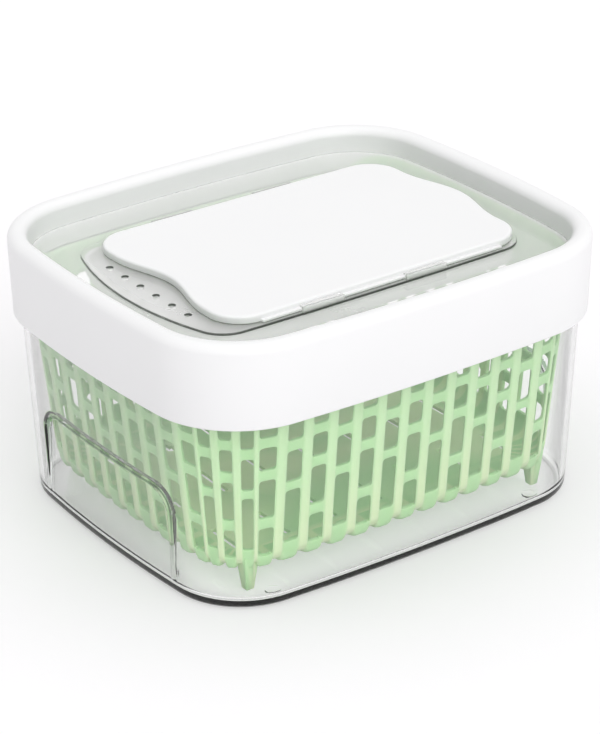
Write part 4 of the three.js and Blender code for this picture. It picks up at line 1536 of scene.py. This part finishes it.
class KEEPER_OT_stage(bpy.types.Operator):
    """Set out the floor, the lights, the world and the camera"""

    bl_idname = "keeper.stage"
    bl_label = "Stage"
    bl_options = {"REGISTER", "UNDO"}

    def floor(self, s):
        deselect()
        bpy.ops.mesh.primitive_circle_add(
            vertices=96, radius=s.floor, fill_type="NGON", location=(0, 0, -s.floor_drop))
        floor = settle(bpy.context.object)
        floor.name = floor.data.name = "floor"
        f = Finish("pale_floor")
        tone = f.mix(f.noise(6, 2), (*shade(s.floor_colour, 0.99),), (*shade(s.floor_colour, 1.01),))
        matt = f.node("ShaderNodeBsdfDiffuse", {}, {"Color": tone})
        under = f.light_path("Is Transmission Ray") * (s.floor_under - s.floor_lift)
        glow = f.node("ShaderNodeEmission", {}, {"Color": (1, 1, 1, 1), "Strength": under + s.floor_lift})
        both = f.node("ShaderNodeAddShader", {}, {0: matt, 1: glow})
        floor.data.materials.append(f.end(f.blend(f.seen(), matt, both)))
        floor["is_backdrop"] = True

    def world(self, s):
        """White where it is seen, and otherwise a soft light that is stronger from above."""
        world = bpy.data.worlds.new("studio")
        bpy.context.scene.world = world
        world.use_nodes = True
        w = Finish("studio", world.node_tree)
        way = w.node("ShaderNodeTexCoord", {}, {}, "Generated")
        up = w.node("ShaderNodeSeparateXYZ", {}, {0: way}, 2).at_least(0)
        strength = w.seen() * (1 - s.fill) + s.fill + (1 - w.seen()) * up * s.overhead
        sky = w.node("ShaderNodeBackground", {}, {"Color": (1, 1, 1, 1), "Strength": strength})
        w.node("ShaderNodeOutputWorld", {}, {"Surface": sky})

    def light(self, s):
        lamp = bpy.data.lights.new("key_light", "SUN")
        lamp.energy = s.key
        lamp.angle = s.key_spread
        holder = bpy.data.objects.new("key_light", lamp)
        bpy.context.scene.collection.objects.link(holder)
        holder.location = Vector(s.key_way) * 2
        holder.rotation_euler = (-Vector(s.key_way)).to_track_quat("-Z", "Y").to_euler()

    def camera(self, s):
        aim = Vector((0, 0, s.aim))
        back = Vector((math.sin(s.turn) * math.cos(s.tilt), -math.cos(s.turn) * math.cos(s.tilt),
                       math.sin(s.tilt)))
        level = (-back).cross(Vector((0, 0, 1))).normalized()
        upward = level.cross(-back)
        right = level * math.cos(s.roll) + upward * math.sin(s.roll)
        up = upward * math.cos(s.roll) - level * math.sin(s.roll)
        data = bpy.data.cameras.new("camera")
        camera = bpy.data.objects.new("camera", data)
        bpy.context.scene.collection.objects.link(camera)
        turn = Matrix((right, up, back)).transposed().to_4x4()
        camera.matrix_world = Matrix.Translation(aim + back * s.distance) @ turn
        data.sensor_fit = "VERTICAL"
        data.sensor_height = 36
        data.lens = s.focal * data.sensor_height / s.frame_height
        data.shift_x = -s.right_of_middle / s.frame_height
        data.shift_y = -s.above_middle / s.frame_height
        data.clip_start = 0.01
        bpy.context.scene.camera = camera

    def execute(self, context):
        s = context.scene.keeper_stage
        self.floor(s)
        self.world(s)
        self.light(s)
        self.camera(s)
        context.scene.view_settings.view_transform = "Standard"
        return {"FINISHED"}


PIECES = (
    KEEPER_OT_tub, KEEPER_OT_basket, KEEPER_OT_lid_frame, KEEPER_OT_lid_window,
    KEEPER_OT_vent_cover, KEEPER_OT_filter_cage, KEEPER_OT_filter_door,
    KEEPER_OT_carbon_sachet, KEEPER_OT_stage,
)
GROUPS = (
    ("keeper_outline", KEEPER_PG_outline), ("keeper_lid", KEEPER_PG_lid),
    ("keeper_filter", KEEPER_PG_filter), ("keeper_tub", KEEPER_PG_tub),
    ("keeper_basket", KEEPER_PG_basket), ("keeper_finish", KEEPER_PG_finish),
    ("keeper_stage", KEEPER_PG_stage),
)


class KEEPER_PT_panel(bpy.types.Panel):
    """Lists the pieces of the keeper, with their sizes below"""

    bl_idname = "KEEPER_PT_panel"
    bl_label = "Produce keeper"
    bl_space_type = "VIEW_3D"
    bl_region_type = "UI"
    bl_category = "Keeper"

    def draw(self, context):
        for piece in PIECES:
            self.layout.operator(piece.bl_idname)
        for name, _group in GROUPS:
            box = self.layout.box()
            group = getattr(context.scene, name)
            for key in group.bl_rna.properties.keys():
                if key not in ("rna_type", "name"):
                    box.prop(group, key)


def register():
    for name, group in GROUPS:
        bpy.utils.register_class(group)
        setattr(bpy.types.Scene, name, PointerProperty(type=group))
    for item in (*PIECES, KEEPER_PT_panel):
        bpy.utils.register_class(item)


def unregister():
    for item in (KEEPER_PT_panel, *reversed(PIECES)):
        bpy.utils.unregister_class(item)
    for name, group in reversed(GROUPS):
        delattr(bpy.types.Scene, name)
        bpy.utils.unregister_class(group)


def corners(box):
    return [[float(part) for part in corner] for corner in box]


def main():
    register()
    for piece in PIECES:
        area, action = piece.bl_idname.split(".")
        if getattr(getattr(bpy.ops, area), action)() != {"FINISHED"}:
            raise RuntimeError("not finished: " + piece.bl_idname)
    deselect()
    {"cad": corners(CAD_BOX), "visual": corners(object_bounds())}


if __name__ == "__main__":
    main()
